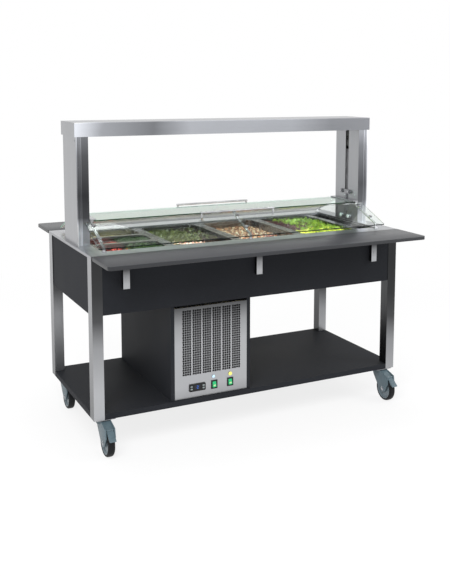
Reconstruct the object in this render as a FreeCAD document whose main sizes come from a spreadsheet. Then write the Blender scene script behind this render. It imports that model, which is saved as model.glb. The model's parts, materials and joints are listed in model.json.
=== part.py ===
"""Mobile salad bar: cold well for four 530 x 325 pan places, lifting glass hood, two folding tray slides.

Millimetres. X runs along the length, Y from the front to the back, Z up from the floor.
The origin lies on the floor under the middle of the cart.
"""
import FreeCAD, Part
import math
import os

import Sketcher

V = FreeCAD.Vector
doc = FreeCAD.newDocument("salad_bar")
sheet = doc.addObject("Spreadsheet::Sheet", "Dims")
row_count = 0
nodes = []
unique = {}


def dim(alias, value, note=""):
    """One size: alias, value or expression of earlier sizes, and what it is."""
    global row_count
    row_count += 1
    sheet.set("A%d" % row_count, alias)
    sheet.set("B%d" % row_count, "=" + value if isinstance(value, str) else str(value))
    sheet.set("C%d" % row_count, note)
    sheet.setAlias("B%d" % row_count, alias)


# ---- body and frame
dim("body_length", 1600, "over the legs, X")
dim("body_depth", 720, "over the legs, Y")
dim("castor_height", 160, "floor to underside of shelf")
dim("counter_height", 892, "floor to counter top")
dim("shelf_thickness", 25, "lower shelf board")
dim("skirt_drop", 264, "counter top to the lower edge of the skirts")
dim("skirt_bottom", "counter_height - skirt_drop", "lower edge of the skirt panels")
dim("skirt_thickness", 12, "skirt panel")
dim("skirt_recess", 2, "panel behind the leg face")
dim("leg_width", 48, "leg section along X")
dim("leg_depth", 57, "leg section along Y")
dim("leg_wall", 2, "leg tube wall")
dim("top_edge", 12, "folded edge of the counter top")
dim("sheet_metal", 2, "stainless sheet")
dim("fit", 0.3, "clearance of a placed part")
# ---- well and pans
dim("well_end", 75, "opening to the end of the counter")
dim("well_half_length", "body_length / 2 - well_end", "sunk opening, half X")
dim("well_side", 88, "opening to the side of the counter")
dim("well_half_depth", "body_depth / 2 - well_side", "sunk opening, half Y")
dim("ledge_drop", 8, "pan ledge below the counter top")
dim("ledge_width", 13, "pan ledge along X")
dim("ledge_depth", 16, "pan ledge along Y")
dim("tank_depth", 198, "counter top to tank floor")
dim("insulation_side", 40, "foam on the long sides and floor")
dim("return_slot", 82, "opening left over past the last place")
dim("pan_pitch", "(2 * well_half_length - return_slot) / 4", "pan places along X")
dim("place_gap", 17, "gap between two pan places")
dim("pan_width", "pan_pitch - place_gap", "pan size along X")
dim("pan_play", 7, "pan end to the side of the opening")
dim("pan_length", "2 * (well_half_depth - pan_play)", "pan size along Y")
dim("end_gap", 3, "first pan to the end of the opening")
dim("first_pan", "end_gap + pan_width / 2 - well_half_length", "middle of the first place")
dim("pan_depth", 150, "pan rim to floor")
dim("pan_rim", 14, "rim width")
dim("pan_gauge", 1.2, "pan sheet")
dim("pan_corner", 34, "inner corner radius")
dim("third_gap", 0.6, "gap between third pans")
# ---- posts, beam and hood
dim("post_width", 56, "post along X")
dim("post_depth", 218, "post along Y")
dim("post_inset", 15, "post to the end of the counter")
dim("post_out", "body_length / 2 - post_inset", "outer face of the post")
dim("post_sunk", 252, "post below the counter top")
dim("post_foot", "counter_height - post_sunk", "lower end of the post")
dim("beam_rise", 494, "counter top to the beam")
dim("beam_bottom", "counter_height + beam_rise", "underside of the beam")
dim("beam_height", 64, "beam height")
dim("beam_lap", 7, "beam past the post, X")
dim("beam_length", "2 * (post_out + beam_lap)", "beam length")
dim("beam_side", 5, "beam past the post, Y")
dim("beam_depth", "post_depth + 2 * beam_side", "beam depth")
dim("slot_width", 30, "slot in the inner face of the post")
dim("hood_rise", 115, "counter top to the top of the hood")
dim("hood_top", "counter_height + hood_rise", "upper face of the flat glass")
dim("glass", 6, "glass thickness")
dim("hood_flat", "beam_depth", "depth of the flat glass")
dim("hood_inset", 33, "sloping glass inside the posts")
dim("hood_length", "2 * (post_out - hood_inset)", "length of the sloping glass")
dim("hood_side", 42, "hood edge inside the counter, with its gap")
dim("slope_run", "body_depth / 2 - hood_flat / 2 - hood_side", "sloping glass, run along Y")
dim("slope_fall", 84, "sloping glass, fall")
dim("hood_lift", 270, "lift of the hood")
dim("strut_width", 12, "strut flat bar")
dim("strut_inset", 32, "outer strut inside the end of the glass")
dim("strut_x", "hood_length / 2 - strut_inset", "outer struts")
dim("handle_length", 400, "bow handle")
dim("handle_dia", 11, "bow handle bar")
dim("pulley_radius", 37.5, "cable line radius")
dim("pulley_drop", 51, "pulley axis below the beam")
dim("pulley_height", "beam_bottom - pulley_drop", "pulley axis above floor")
dim("weight_height", 320, "counterweight")
# ---- tray slides
dim("tray_depth", 238, "board along Y")
dim("tray_thickness", 17, "board")
dim("tray_gap", 2, "gap to the counter edge")
dim("tray_lift", 1, "board top above the counter")
dim("tray_corner", 18, "outer corner radius")
dim("bracket_pitch", 650, "brackets along X")
dim("bracket_width", 30, "bracket channel")
dim("bracket_drop", 152, "counter top to the end of the bracket")
dim("bracket_bottom", "counter_height - bracket_drop", "lower end of the bracket")
dim("arm_width", 36, "tray arm, a channel astride the bracket")
dim("arm_height", 18, "tray arm")
dim("arm_length", 140, "tray arm")
dim("pin_dia", 8, "pivot pin")
dim("pin_clear", 0.08, "running clearance of a pin, radial")
# ---- cooling unit
dim("unit_left", -436, "left face of the cabinet")
dim("unit_right", -34, "right face of the cabinet")
dim("drain_inset", 52, "drain inside the opening")
dim("drain_y", "well_half_depth - drain_inset", "axis of the drain drop")
dim("drain_fall", 332, "counter top to the drain run")
dim("drain_z", "counter_height - drain_fall", "axis of the drain run")
dim("unit_recess", 10, "cabinet inside the counter edge")
dim("unit_half_depth", "body_depth / 2 - unit_recess", "cabinet half depth")
dim("unit_panel", 18, "cabinet side panel")
dim("grille_gap", 12, "grille panel below the skirt")
dim("grille_top", "skirt_bottom - grille_gap", "upper edge of the grille panel")
dim("air_left", -380, "left edge of the air field")
dim("air_right", -86, "right edge of the air field")
dim("air_bottom", 294, "lower edge of the air field")
dim("air_margin", 14, "air field below the edge of the panel")
dim("air_top", "grille_top - air_margin", "upper edge of the air field")
dim("air_column", 44, "width of an air column")
dim("air_slot", 6, "height of an air slot")
dim("fan_radius", 118, "fan blade tip")
dim("fan_raise", 41.5, "fan axis above the middle of the cabinet")
dim("fan_height", "(castor_height + shelf_thickness + skirt_bottom) / 2 + fan_raise", "fan axis above floor")
dim("fan_back", 150, "blades behind the grille panel")
dim("fan_y", "fan_back - unit_half_depth", "middle plane of the blades")
dim("control_z", 233, "middle height of the controls")
# ---- castors
dim("wheel_dia", 125, "castor wheel")
dim("wheel_width", 32, "castor tyre")
dim("castor_end", 55, "swivel axis to the end of the body")
dim("castor_x", "body_length / 2 - castor_end", "swivel axis, half X")
dim("castor_side", 44, "swivel axis to the side of the body")
dim("castor_y", "body_depth / 2 - castor_side", "swivel axis, half Y")
dim("castor_trail", 58, "axle behind the swivel axis")
dim("plate_size", 92, "castor plate")
doc.recompute()


def num(expression):
    """Value of an expression of sheet names, for places where only a number fits."""
    names = {}
    for i in range(1, row_count + 1):
        names[sheet.get("A%d" % i)] = float(sheet.get("B%d" % i))
    total = doc.getObject("Probe")
    if total is None:
        total = doc.addObject("Part::Box", "Probe")
    total.setExpression("Placement.Base.x", full(expression, names))
    total.recompute()
    return total.Placement.Base.x


def full(expression, names=None):
    """Puts the sheet's name in front of each alias of an expression."""
    words = names if names is not None else known
    out = ""
    token = ""
    for ch in str(expression) + " ":
        if ch.isalnum() or ch == "_" or (ch == "." and token[:1].isdigit()):
            token += ch
        else:
            out += ("Dims." + token) if token in words else token
            out += ch
            token = ""
    return out.strip()


known = {}
for i in range(1, row_count + 1):
    known[sheet.get("A%d" % i)] = float(sheet.get("B%d" % i))


def fresh(name):
    """A name not used before in the document."""
    unique[name] = unique.get(name, 0) + 1
    return "%s_%d" % (name, unique[name])


def bind(obj, prop, expression):
    obj.setExpression(prop, full(expression))


def box(name, x0, x1, y0, y1, z0, z1):
    """Block between two corners, each given as an expression."""
    b = doc.addObject("Part::Box", fresh(name))
    bind(b, "Length", "(%s) - (%s)" % (x1, x0))
    bind(b, "Width", "(%s) - (%s)" % (y1, y0))
    bind(b, "Height", "(%s) - (%s)" % (z1, z0))
    bind(b, "Placement.Base.x", x0)
    bind(b, "Placement.Base.y", y0)
    bind(b, "Placement.Base.z", z0)
    return b


TURN = {
    "z": FreeCAD.Rotation(0, 0, 0),
    "x": FreeCAD.Rotation(V(0, 1, 0), 90),
    "y": FreeCAD.Rotation(V(1, 0, 0), -90),
}


def rod(name, axis, radius, x, y, z, length, kind="Part::Cylinder"):
    """Cylinder that starts at a point and runs along +axis."""
    c = doc.addObject(kind, fresh(name))
    c.Placement = FreeCAD.Placement(V(0, 0, 0), TURN[axis])
    bind(c, "Radius", radius)
    bind(c, "Height", length)
    bind(c, "Placement.Base.x", x)
    bind(c, "Placement.Base.y", y)
    bind(c, "Placement.Base.z", z)
    return c


def hexagon(name, radius, x, y, z, length):
    """Hexagon bar that starts at a point and runs along +Y."""
    h = doc.addObject("Part::Prism", fresh(name))
    h.Polygon = 6
    h.Placement = FreeCAD.Placement(V(0, 0, 0), TURN["y"])
    bind(h, "Circumradius", radius)
    bind(h, "Height", length)
    bind(h, "Placement.Base.x", x)
    bind(h, "Placement.Base.y", y)
    bind(h, "Placement.Base.z", z)
    return h


def fuse(name, parts):
    if len(parts) == 1:
        return parts[0]
    f = doc.addObject("Part::MultiFuse", fresh(name))
    f.Shapes = parts
    f.Refine = True
    return f


def cut(name, base, tools):
    c = doc.addObject("Part::Cut", fresh(name))
    c.Base = base
    if len(tools) == 1:
        c.Tool = tools[0]
    else:
        group = doc.addObject("Part::Compound", fresh(name + "_tools"))
        group.Links = tools
        c.Tool = group
    return c


def mirror(name, source, axis):
    m = doc.addObject("Part::Mirroring", fresh(name))
    m.Source = source
    m.Normal = V(1, 0, 0) if axis == "x" else V(0, 1, 0)
    return m


def node(label, parts):
    """Registers a sub-part; several solids of one node become one group."""
    if len(parts) == 1:
        top = parts[0]
    else:
        top = doc.addObject("Part::Compound", fresh(label))
        top.Links = parts
    top.Label = label
    nodes.append(top)
    return top


def both(name, part, axis):
    return [part, mirror(name, part, axis)]


def plane_of(body, role):
    for f in body.Origin.OriginFeatures:
        if f.Role == role:
            return f
    raise RuntimeError(role)


def new_sketch(body, role, offset):
    """Sketch on an origin plane of the body, moved along its normal by an expression."""
    s = body.newObject("Sketcher::SketchObject", fresh("Sketch"))
    s.AttachmentSupport = (plane_of(body, role), [""])
    s.MapMode = "FlatFace"
    bind(s, "AttachmentOffset.Base.z", offset)
    return s


def polygon(body, role, offset, points):
    """Closed outline; every corner is held by two dimensions bound to the sheet."""
    s = new_sketch(body, role, offset)
    vals = [(num(a), num(b)) for a, b in points]
    n = len(points)
    for i in range(n):
        a, b = vals[i], vals[(i + 1) % n]
        s.addGeometry(Part.LineSegment(V(a[0], a[1], 0), V(b[0], b[1], 0)), False)
    for i in range(n):
        s.addConstraint(Sketcher.Constraint("Coincident", i, 2, (i + 1) % n, 1))
    for i in range(n):
        for kind, value, expression in (("DistanceX", vals[i][0], points[i][0]), ("DistanceY", vals[i][1], points[i][1])):
            c = s.addConstraint(Sketcher.Constraint(kind, -1, 1, i, 1, value))
            s.setExpression("Constraints[%d]" % c, full(expression))
    return s


def round_rectangle(body, role, offset, x0, x1, y0, y1, r):
    """Rectangle with round corners, held by four line positions and one radius."""
    s = new_sketch(body, role, offset)
    a, b, c, d, q = num(x0), num(x1), num(y0), num(y1), num(r)
    half = math.pi / 2
    s.addGeometry(Part.LineSegment(V(a + q, c, 0), V(b - q, c, 0)), False)
    s.addGeometry(Part.LineSegment(V(b, c + q, 0), V(b, d - q, 0)), False)
    s.addGeometry(Part.LineSegment(V(b - q, d, 0), V(a + q, d, 0)), False)
    s.addGeometry(Part.LineSegment(V(a, d - q, 0), V(a, c + q, 0)), False)
    centres = [(b - q, c + q, -half), (b - q, d - q, 0), (a + q, d - q, half), (a + q, c + q, math.pi)]
    for cx, cy, start in centres:
        circle = Part.Circle(V(cx, cy, 0), V(0, 0, 1), q)
        s.addGeometry(Part.ArcOfCircle(circle, start, start + half), False)
    for i in range(4):
        s.addConstraint(Sketcher.Constraint("Tangent", i, 2, 4 + i, 1))
        s.addConstraint(Sketcher.Constraint("Tangent", 4 + i, 2, (i + 1) % 4, 1))
    s.addConstraint(Sketcher.Constraint("Horizontal", 0))
    s.addConstraint(Sketcher.Constraint("Horizontal", 2))
    s.addConstraint(Sketcher.Constraint("Vertical", 1))
    s.addConstraint(Sketcher.Constraint("Vertical", 3))
    for i in range(3):
        s.addConstraint(Sketcher.Constraint("Equal", 4, 5 + i))
    k = s.addConstraint(Sketcher.Constraint("Radius", 4, q))
    s.setExpression("Constraints[%d]" % k, full(r))
    for kind, line, value, expression in (("DistanceX", 3, a, x0), ("DistanceX", 1, b, x1), ("DistanceY", 0, c, y0), ("DistanceY", 2, d, y1)):
        k = s.addConstraint(Sketcher.Constraint(kind, -1, 1, line, 1, value))
        s.setExpression("Constraints[%d]" % k, full(expression))
    return s


def body(name):
    return doc.addObject("PartDesign::Body", fresh(name))


def pad(owner, sketch, length, kind="PartDesign::Pad", reverse=False):
    p = owner.newObject(kind, fresh(kind.split(":")[-1]))
    p.Profile = sketch
    bind(p, "Length", length)
    p.Reversed = reverse
    owner.Tip = p
    return p


def prism(name, role, offset, points, length):
    """Straight prism over a bound outline."""
    owner = body(name)
    pad(owner, polygon(owner, role, offset, points), length)
    return owner


def slab(name, x0, x1, y0, y1, r, z0, z1):
    """Plate with round vertical corners."""
    owner = body(name)
    pad(owner, round_rectangle(owner, "XY_Plane", z0, x0, x1, y0, y1, r), "(%s) - (%s)" % (z1, z0))
    return owner


HL = "body_length / 2"
HD = "body_depth / 2"
CH = "counter_height"
SHELF = "castor_height + shelf_thickness"

# ============================================================ frame and panels
leg_shell = box("leg", "-" + HL, "-" + HL + " + leg_width", "-" + HD, "-" + HD + " + leg_depth", "castor_height", CH + " - top_edge")
leg_core = box("leg_core", "-" + HL + " + leg_wall", "-" + HL + " + leg_width - leg_wall", "-" + HD + " + leg_wall",
               "-" + HD + " + leg_depth - leg_wall", "castor_height + leg_wall", CH + " - top_edge - leg_wall")
leg = cut("leg_tube", leg_shell, [leg_core])
legs = both("leg_mirror", leg, "x")
legs += [mirror("leg_mirror", p, "y") for p in list(legs)]
node("corner_legs", legs)

shelf_blank = box("shelf", "-" + HL, HL, "-" + HD, HD, "castor_height", SHELF)
notches = []
for sx in (-1, 1):
    for sy in (-1, 1):
        x0 = "-%s - 1" % HL if sx < 0 else "%s - leg_width" % HL
        x1 = "-%s + leg_width" % HL if sx < 0 else "%s + 1" % HL
        y0 = "-%s - 1" % HD if sy < 0 else "%s - leg_depth" % HD
        y1 = "-%s + leg_depth" % HD if sy < 0 else "%s + 1" % HD
        notches.append(box("notch", x0, x1, y0, y1, "castor_height - 1", SHELF + " + 1"))
node("lower_shelf", [cut("shelf_board", shelf_blank, notches)])

front_skirt = box("long_skirt", "-%s + leg_width" % HL, "%s - leg_width" % HL, "-%s + skirt_recess" % HD,
                  "-%s + skirt_recess + skirt_thickness" % HD, "skirt_bottom", CH + " - sheet_metal")
node("long_skirts", both("skirt_mirror", front_skirt, "y"))
end_skirt = box("end_skirt", "-%s + skirt_recess + 1" % HL, "-%s + skirt_recess + 1 + skirt_thickness" % HL,
                "-%s + leg_depth" % HD, "%s - leg_depth" % HD, "skirt_bottom", CH + " - sheet_metal")
node("end_skirts", both("end_mirror", end_skirt, "x"))

# ============================================================ counter top and cold well
blank = box("top_blank", "-" + HL, HL, "-" + HD, HD, CH + " - top_edge", CH)
under = box("top_under", "-%s + sheet_metal" % HL, "%s - sheet_metal" % HL, "-%s + sheet_metal" % HD,
            "%s - sheet_metal" % HD, CH + " - top_edge - 1", CH + " - sheet_metal")
opening = box("top_opening", "-well_half_length", "well_half_length", "-well_half_depth", "well_half_depth",
              CH + " - top_edge - 1", CH + " + 1")
post_hole = box("post_hole", "-post_out - fit / 2", "-post_out + post_width + fit / 2", "-post_depth / 2 - fit / 2",
                "post_depth / 2 + fit / 2", CH + " - top_edge - 1", CH + " + 1")
node("counter_top", [cut("counter_sheet", blank, [under, opening, post_hole, mirror("post_hole_r", post_hole, "x")])])

LEDGE = "(%s - ledge_drop)" % CH
TX = "(well_half_length - ledge_width)"
TY = "(well_half_depth - ledge_depth)"
FLOOR = "(%s - tank_depth)" % CH
rimblock = box("tank_rim", "-well_half_length - sheet_metal", "well_half_length + sheet_metal", "-well_half_depth - sheet_metal",
               "well_half_depth + sheet_metal", LEDGE + " - sheet_metal", CH + " - sheet_metal")
basin = box("tank_basin", "-%s - sheet_metal" % TX, "%s + sheet_metal" % TX, "-%s - sheet_metal" % TY,
            "%s + sheet_metal" % TY, FLOOR + " - sheet_metal", LEDGE)
tank_in1 = box("tank_in", "-well_half_length", "well_half_length", "-well_half_depth", "well_half_depth", LEDGE, CH + " + 1")
tank_in2 = box("tank_in", "-" + TX, TX, "-" + TY, TY, FLOOR, CH + " + 1")
drain_hole = rod("drain_hole", "z", "16", "-120", "drain_y", FLOOR + " - 10", "20")
line_hole = rod("line_hole", "z", "6", "-300", "-56", FLOOR + " - 10", "20")
node("well_tank", [cut("tank", fuse("tank_shell", [rimblock, basin]), [tank_in1, tank_in2, drain_hole, line_hole])])

# five foam boards: one under the tank and four round it
FX, FYI = "(%s + sheet_metal + fit)" % TX, "(%s + sheet_metal + fit)" % TY
FXO, FYO = "(well_half_length + sheet_metal)", "(%s + sheet_metal + insulation_side)" % TY
FZ0, FZ1 = "(%s - sheet_metal - fit)" % FLOOR, LEDGE + " - sheet_metal - fit"
foam_floor = box("foam", "-" + FXO, FXO, "-" + FYO, FYO, FZ0 + " - insulation_side", FZ0)
foam_front = box("foam", "-" + FXO, FXO, "-" + FYO, "-" + FYI, FZ0, FZ1)
foam_end = box("foam", "-" + FXO, "-" + FX, "-" + FYI, FYI, FZ0, FZ1)
foam_drain = rod("foam_drain", "z", "24", "-120", "drain_y", FLOOR + " - 60", "80")
foam_line = rod("foam_line", "z", "10", "-300", "-56", FLOOR + " - 60", "80")
boards = [cut("foam_board", foam_floor, [foam_drain, foam_line])] + both("foam_rear", foam_front, "y") + both("foam_right", foam_end, "x")
node("tank_insulation", boards)

# ---- divider strips between the pan places: a raised strip on a wider carrying plate, with small slots
bars = []
for k in range(4):
    mid = "(first_pan + %d * pan_pitch + pan_pitch / 2)" % k
    wide = "(pan_pitch - pan_width)"
    if k == 3:
        mid = "(first_pan + 3 * pan_pitch + pan_width / 2 + wide_last / 2)".replace("wide_last", "(pan_pitch - pan_width)")
    strip = box("bar_strip", "%s - %s / 2 + fit" % (mid, wide), "%s + %s / 2 - fit" % (mid, wide), "-well_half_depth + 2",
                "well_half_depth - 2", LEDGE, LEDGE + " + pan_gauge")
    carrier = box("bar_plate", "%s - %s / 2 - 9" % (mid, wide), "%s + %s / 2 + 9" % (mid, wide), "-%s + fit" % TY,
                  TY + " - fit", LEDGE + " - sheet_metal", LEDGE)
    slots = []
    for j in range(16):
        y = "(-232 + %d * 31)" % j
        slots.append(box("bar_slot", mid + " - 5", mid + " + 5", y + " - 6", y + " + 6", LEDGE + " - 4", LEDGE + " + 4"))
    bars.append(cut("bar", fuse("bar_blank", [strip, carrier]), slots))
node("divider_bars", bars)


def pan(name, mx, my, sx, sy):
    """Deep pan with a flat rim; middle and size given as expressions."""
    x0, x1 = "%s - %s / 2" % (mx, sx), "%s + %s / 2" % (mx, sx)
    y0, y1 = "%s - %s / 2" % (my, sy), "%s + %s / 2" % (my, sy)
    top = LEDGE + " + pan_gauge"
    owner = body(name)
    pad(owner, round_rectangle(owner, "XY_Plane", LEDGE, x0, x1, y0, y1, "pan_corner - 14"), "pan_gauge")
    low = round_rectangle(owner, "XY_Plane", top + " - pan_depth", x0 + " + pan_rim", x1 + " - pan_rim", y0 + " + pan_rim",
                          y1 + " - pan_rim", "pan_corner")
    pad(owner, low, "pan_depth - pan_gauge / 2")
    hollow = round_rectangle(owner, "XY_Plane", top, x0 + " + pan_rim + pan_gauge", x1 + " - pan_rim - pan_gauge",
                             y0 + " + pan_rim + pan_gauge", y1 + " - pan_rim - pan_gauge", "pan_corner - pan_gauge")
    pad(owner, hollow, "pan_depth - pan_gauge", "PartDesign::Pocket")
    return owner


thirds = []
for k in (-1, 0, 1):
    thirds.append(pan("third_pan", "first_pan", "(%d * pan_length / 3)" % k, "pan_width", "(pan_length / 3 - third_gap)"))
node("pans_third", thirds)
fulls = []
for k in (1, 2, 3):
    fulls.append(pan("full_pan", "(first_pan + %d * pan_pitch)" % k, "0", "pan_width", "pan_length"))
node("pans_full", fulls)

# ---- evaporator on the tank floor and the lines down to the compressor
tube = "5"
coil_z = FLOOR + " + %s + fit" % tube
coil = []
for j in range(6):
    coil.append(rod("coil_run", "x", tube, "-600", "(-200 + %d * 72)" % j, coil_z, "1200"))
for x in ("-600", "600"):
    coil.append(rod("coil_header", "y", tube, x, "-200", coil_z, "360"))
node("evaporator_coil", [fuse("evaporator", coil)])

# ============================================================ drain
drop = rod("drain_drop", "z", "14.5", "-120", "drain_y", "drain_z - 15", FLOOR + " - drain_z + 15")
flange = rod("drain_flange", "z", "22", "-120", "drain_y", FLOOR, "2")
run = rod("drain_run", "y", "14", "-120", "drain_y", "drain_z", "150")
valve = rod("drain_ball", "y", "21", "-120", "drain_y + 58", "drain_z", "44")
stem = rod("drain_stem", "z", "6", "-120", "drain_y + 80", "drain_z", "34")
bore = rod("drain_bore", "y", "10", "-120", "drain_y + 20", "drain_z", "140")
node("drain_valve", [cut("drain", fuse("drain_solid", [drop, flange, run, valve, stem]), [bore])])
lever_plate = box("lever", "-180", "-110", "drain_y + 71", "drain_y + 89", "drain_z + 30", "drain_z + 34")
lever_hub = rod("lever_hub", "z", "10", "-120", "drain_y + 80", "drain_z + 26", "8")
lever_bore = rod("lever_bore", "z", "6 + pin_clear", "-120", "drain_y + 80", "drain_z + 20", "20")
node("drain_lever", [cut("lever_cut", fuse("lever_solid", [lever_plate, lever_hub]), [lever_bore])])

# ============================================================ posts, beam, lamp
PI = "(post_out - post_width)"
t = "sheet_metal"
hs = "slot_width / 2"
pd = "post_depth / 2"
profile = [
    ("-" + PI, "-" + hs), ("-" + PI, "-" + pd), ("-post_out + 19", "-" + pd), ("-post_out + 19", "-%s + 3" % pd),
    ("-post_out + 15", "-%s + 3" % pd), ("-post_out + 15", "-" + pd), ("-post_out", "-" + pd), ("-post_out", pd),
    ("-post_out + 15", pd), ("-post_out + 15", pd + " - 3"), ("-post_out + 19", pd + " - 3"), ("-post_out + 19", pd),
    ("-" + PI, pd), ("-" + PI, hs), ("-%s - %s" % (PI, t), hs), ("-%s - %s" % (PI, t), "%s - %s" % (pd, t)),
    ("-post_out + 19 + " + t, "%s - %s" % (pd, t)), ("-post_out + 19 + " + t, "%s - 3 - %s" % (pd, t)),
    ("-post_out + 15 - " + t, "%s - 3 - %s" % (pd, t)), ("-post_out + 15 - " + t, "%s - %s" % (pd, t)),
    ("-post_out + " + t, "%s - %s" % (pd, t)), ("-post_out + " + t, "-%s + %s" % (pd, t)),
    ("-post_out + 15 - " + t, "-%s + %s" % (pd, t)), ("-post_out + 15 - " + t, "-%s + 3 + %s" % (pd, t)),
    ("-post_out + 19 + " + t, "-%s + 3 + %s" % (pd, t)), ("-post_out + 19 + " + t, "-%s + %s" % (pd, t)),
    ("-%s - %s" % (PI, t), "-%s + %s" % (pd, t)), ("-%s - %s" % (PI, t), "-" + hs),
]
post = prism("post", "XY_Plane", "post_foot", profile, "beam_bottom - post_foot")
screw = rod("post_screw", "x", "4", "-post_out - 1.5", "-82", "beam_bottom - 18", "1.5")
axle = rod("pulley_axle", "x", "5", "-post_out + sheet_metal", "pulley_radius", "pulley_height", "post_width - 2 * sheet_metal")
node("posts", both("post_mirror", fuse("post_with_screw", [post, screw, axle]), "x"))

BB = "beam_bottom"
beam_shell = box("beam", "-beam_length / 2", "beam_length / 2", "-beam_depth / 2", "beam_depth / 2", BB, BB + " + beam_height")
beam_core = box("beam_core", "-beam_length / 2 + 2", "beam_length / 2 - 2", "-beam_depth / 2 + 2", "beam_depth / 2 - 2", BB + " + 2",
                BB + " + beam_height - 2")
lamp_mouth = box("lamp_mouth", "-beam_length / 2 + 152", "beam_length / 2 - 152", "-45", "45", BB + " - 1", BB + " + 10")
lamp_tray_out = box("lamp_tray", "-beam_length / 2 + 142", "beam_length / 2 - 142", "-55", "55", BB + " + 2", BB + " + 22")
lamp_tray_in = box("lamp_tray_in", "-beam_length / 2 + 154", "beam_length / 2 - 154", "-43", "43", BB + " + 1", BB + " + 20")
node("gantry_beam", [cut("beam_sheet", beam_shell, [beam_core, lamp_mouth]), cut("lamp_tray_cut", lamp_tray_out, [lamp_tray_in])])
diffuser = box("diffuser", "-beam_length / 2 + 154.5", "beam_length / 2 - 154.5", "-42.5", "42.5", BB + " - 3", BB + " + 8")
node("lamp_diffuser", [diffuser])

# ============================================================ hood
HF = "hood_flat / 2"
GZ = "(hood_top - glass)"
top_glass = slab("top_glass", "-%s + 17" % PI, PI + " - 17", "-" + HF, HF, "4", GZ, "hood_top")
node("top_glass", [top_glass])
# sloping glass: a parallelogram in the YZ plane, below and in front of the edge of the flat glass
sl_y0 = "-%s - 1" % HF
sl_z0 = "(hood_top - glass - 2)"
slope = [(sl_y0, sl_z0), ("%s - slope_run" % sl_y0, sl_z0 + " - slope_fall"),
         ("%s - slope_run + 2.5" % sl_y0, sl_z0 + " - slope_fall - 5.8"), (sl_y0 + " + 2.5", sl_z0 + " - 5.8")]
front_glass = prism("front_glass", "YZ_Plane", "-hood_length / 2", slope, "hood_length")
node("front_glass", [front_glass])
rear_source = prism("rear_glass", "YZ_Plane", "-hood_length / 2", slope, "hood_length")
node("rear_glass", [mirror("rear_glass_m", rear_source, "y")])

# flat-bar struts under the sloping glass, each with a foot on the counter and two round clamps through the glass
# the strut's line runs a clamp's length below the underside of the glass
su_y, su_z = "(%s + 2.5 + 4)" % sl_y0, "(%s - 5.8 - 9.6)" % sl_z0
struts = []
for x, head in (("-strut_x", GZ + " - 7.3"), ("0", GZ + " - fit"), ("strut_x", GZ + " - 7.3")):
    strut_line = [(su_y + " + 8", head), (su_y + " + 4", head), (su_y + " + 4", su_z + " + 3.4"),
                  (su_y + " - slope_run + 28", su_z + " - slope_fall * 0.83333"), (su_y + " - slope_run + 28", CH + " + 3"),
                  (su_y + " - slope_run + 24", CH + " + 3"), (su_y + " - slope_run + 24", su_z + " - slope_fall * 0.91667"), (su_y + " + 8", su_z + " - 0.4")]
    bar = prism("strut", "YZ_Plane", x + " - strut_width / 2", strut_line, "strut_width")
    foot = box("foot", x + " - 9", x + " + 9", su_y + " - slope_run + 14", su_y + " - slope_run + 36", CH + " + fit", CH + " + 4")
    clamps = []
    for frac in (0.12, 0.62):
        c = doc.addObject("Part::Cylinder", fresh("clamp"))
        bind(c, "Radius", "8")
        bind(c, "Height", "9")
        c.Placement = FreeCAD.Placement(V(0, 0, 0), FreeCAD.Rotation(V(1, 0, 0), 22.4))
        bind(c, "Placement.Base.x", x)
        bind(c, "Placement.Base.y", "%s + 2.3 - slope_run * %s + 3.5" % (sl_y0, frac))
        bind(c, "Placement.Base.z", "%s - 5.6 - slope_fall * %s - 8.7" % (sl_z0, frac))
        clamps.append(c)
    struts += both("strut_rear", fuse("strut_set", [bar, foot] + clamps), "y")
node("hood_struts", struts)

# end rails across the flat glass, and the carriages that run in the post slots
rail_x0, rail_x1 = "-%s + 2" % PI, "-%s + 16.7" % PI
rail = box("rail", rail_x0, rail_x1, "-%s + 2" % HF, HF + " - 2", GZ + " - 7", "hood_top + 5")
rail_lip = box("rail_lip", "-%s + 6" % PI, "-%s + 30" % PI, "-%s + 2" % HF, HF + " - 2", "hood_top + fit", "hood_top + 5")
strap = box("strap", "-%s + 2" % PI, "-%s + 7" % PI, "-6", "6", "hood_top - 101", "hood_top + 55")
yoke_top = box("yoke", "-%s + 2" % PI, "-%s + 7" % PI, "-44", "44", "hood_top + 33", "hood_top + 53")
yoke_low = box("yoke", "-%s + 2" % PI, "-%s + 7" % PI, "-44", "44", "hood_top - 103", "hood_top - 83")
slider = box("slider", "-%s - 20" % PI, "-%s + 4" % PI, "-13", "13", "hood_top - 95", "hood_top + 49")
guide = box("guide", "-%s - 34" % PI, "-%s - 3" % PI, "-24", "24", "hood_top - 87", "hood_top + 11")
rollers = []
for y in (-34, 34):
    for z in ("hood_top - 93", "hood_top + 43"):
        rollers.append(rod("roller", "x", "11", "-%s + 0.3" % PI, str(y), z, "13"))
carriage = fuse("carriage", [rail, rail_lip, strap, yoke_top, yoke_low, slider, guide] + rollers)
node("hood_carriages", both("carriage_m", carriage, "x"))

# bow handles on the sloping glass, front and rear
hy = "(%s - 36)" % ("-" + HF)
hz = "(hood_top + 5)"
grip = rod("grip", "x", "handle_dia / 2", "-handle_length / 2", hy, hz, "handle_length")
leg_parts = [grip]
for s in ("-", ""):
    post_leg = doc.addObject("Part::Cylinder", fresh("handle_leg"))
    bind(post_leg, "Radius", "handle_dia / 2 - 0.5")
    bind(post_leg, "Height", "25.2")
    post_leg.Placement = FreeCAD.Placement(V(0, 0, 0), FreeCAD.Rotation(V(1, 0, 0), 180))
    bind(post_leg, "Placement.Base.x", s + "(handle_length / 2 - 6)")
    bind(post_leg, "Placement.Base.y", hy)
    bind(post_leg, "Placement.Base.z", hz)
    leg_parts.append(post_leg)
handle = fuse("handle", leg_parts)
node("bow_handles", both("handle_m", handle, "y"))

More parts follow.
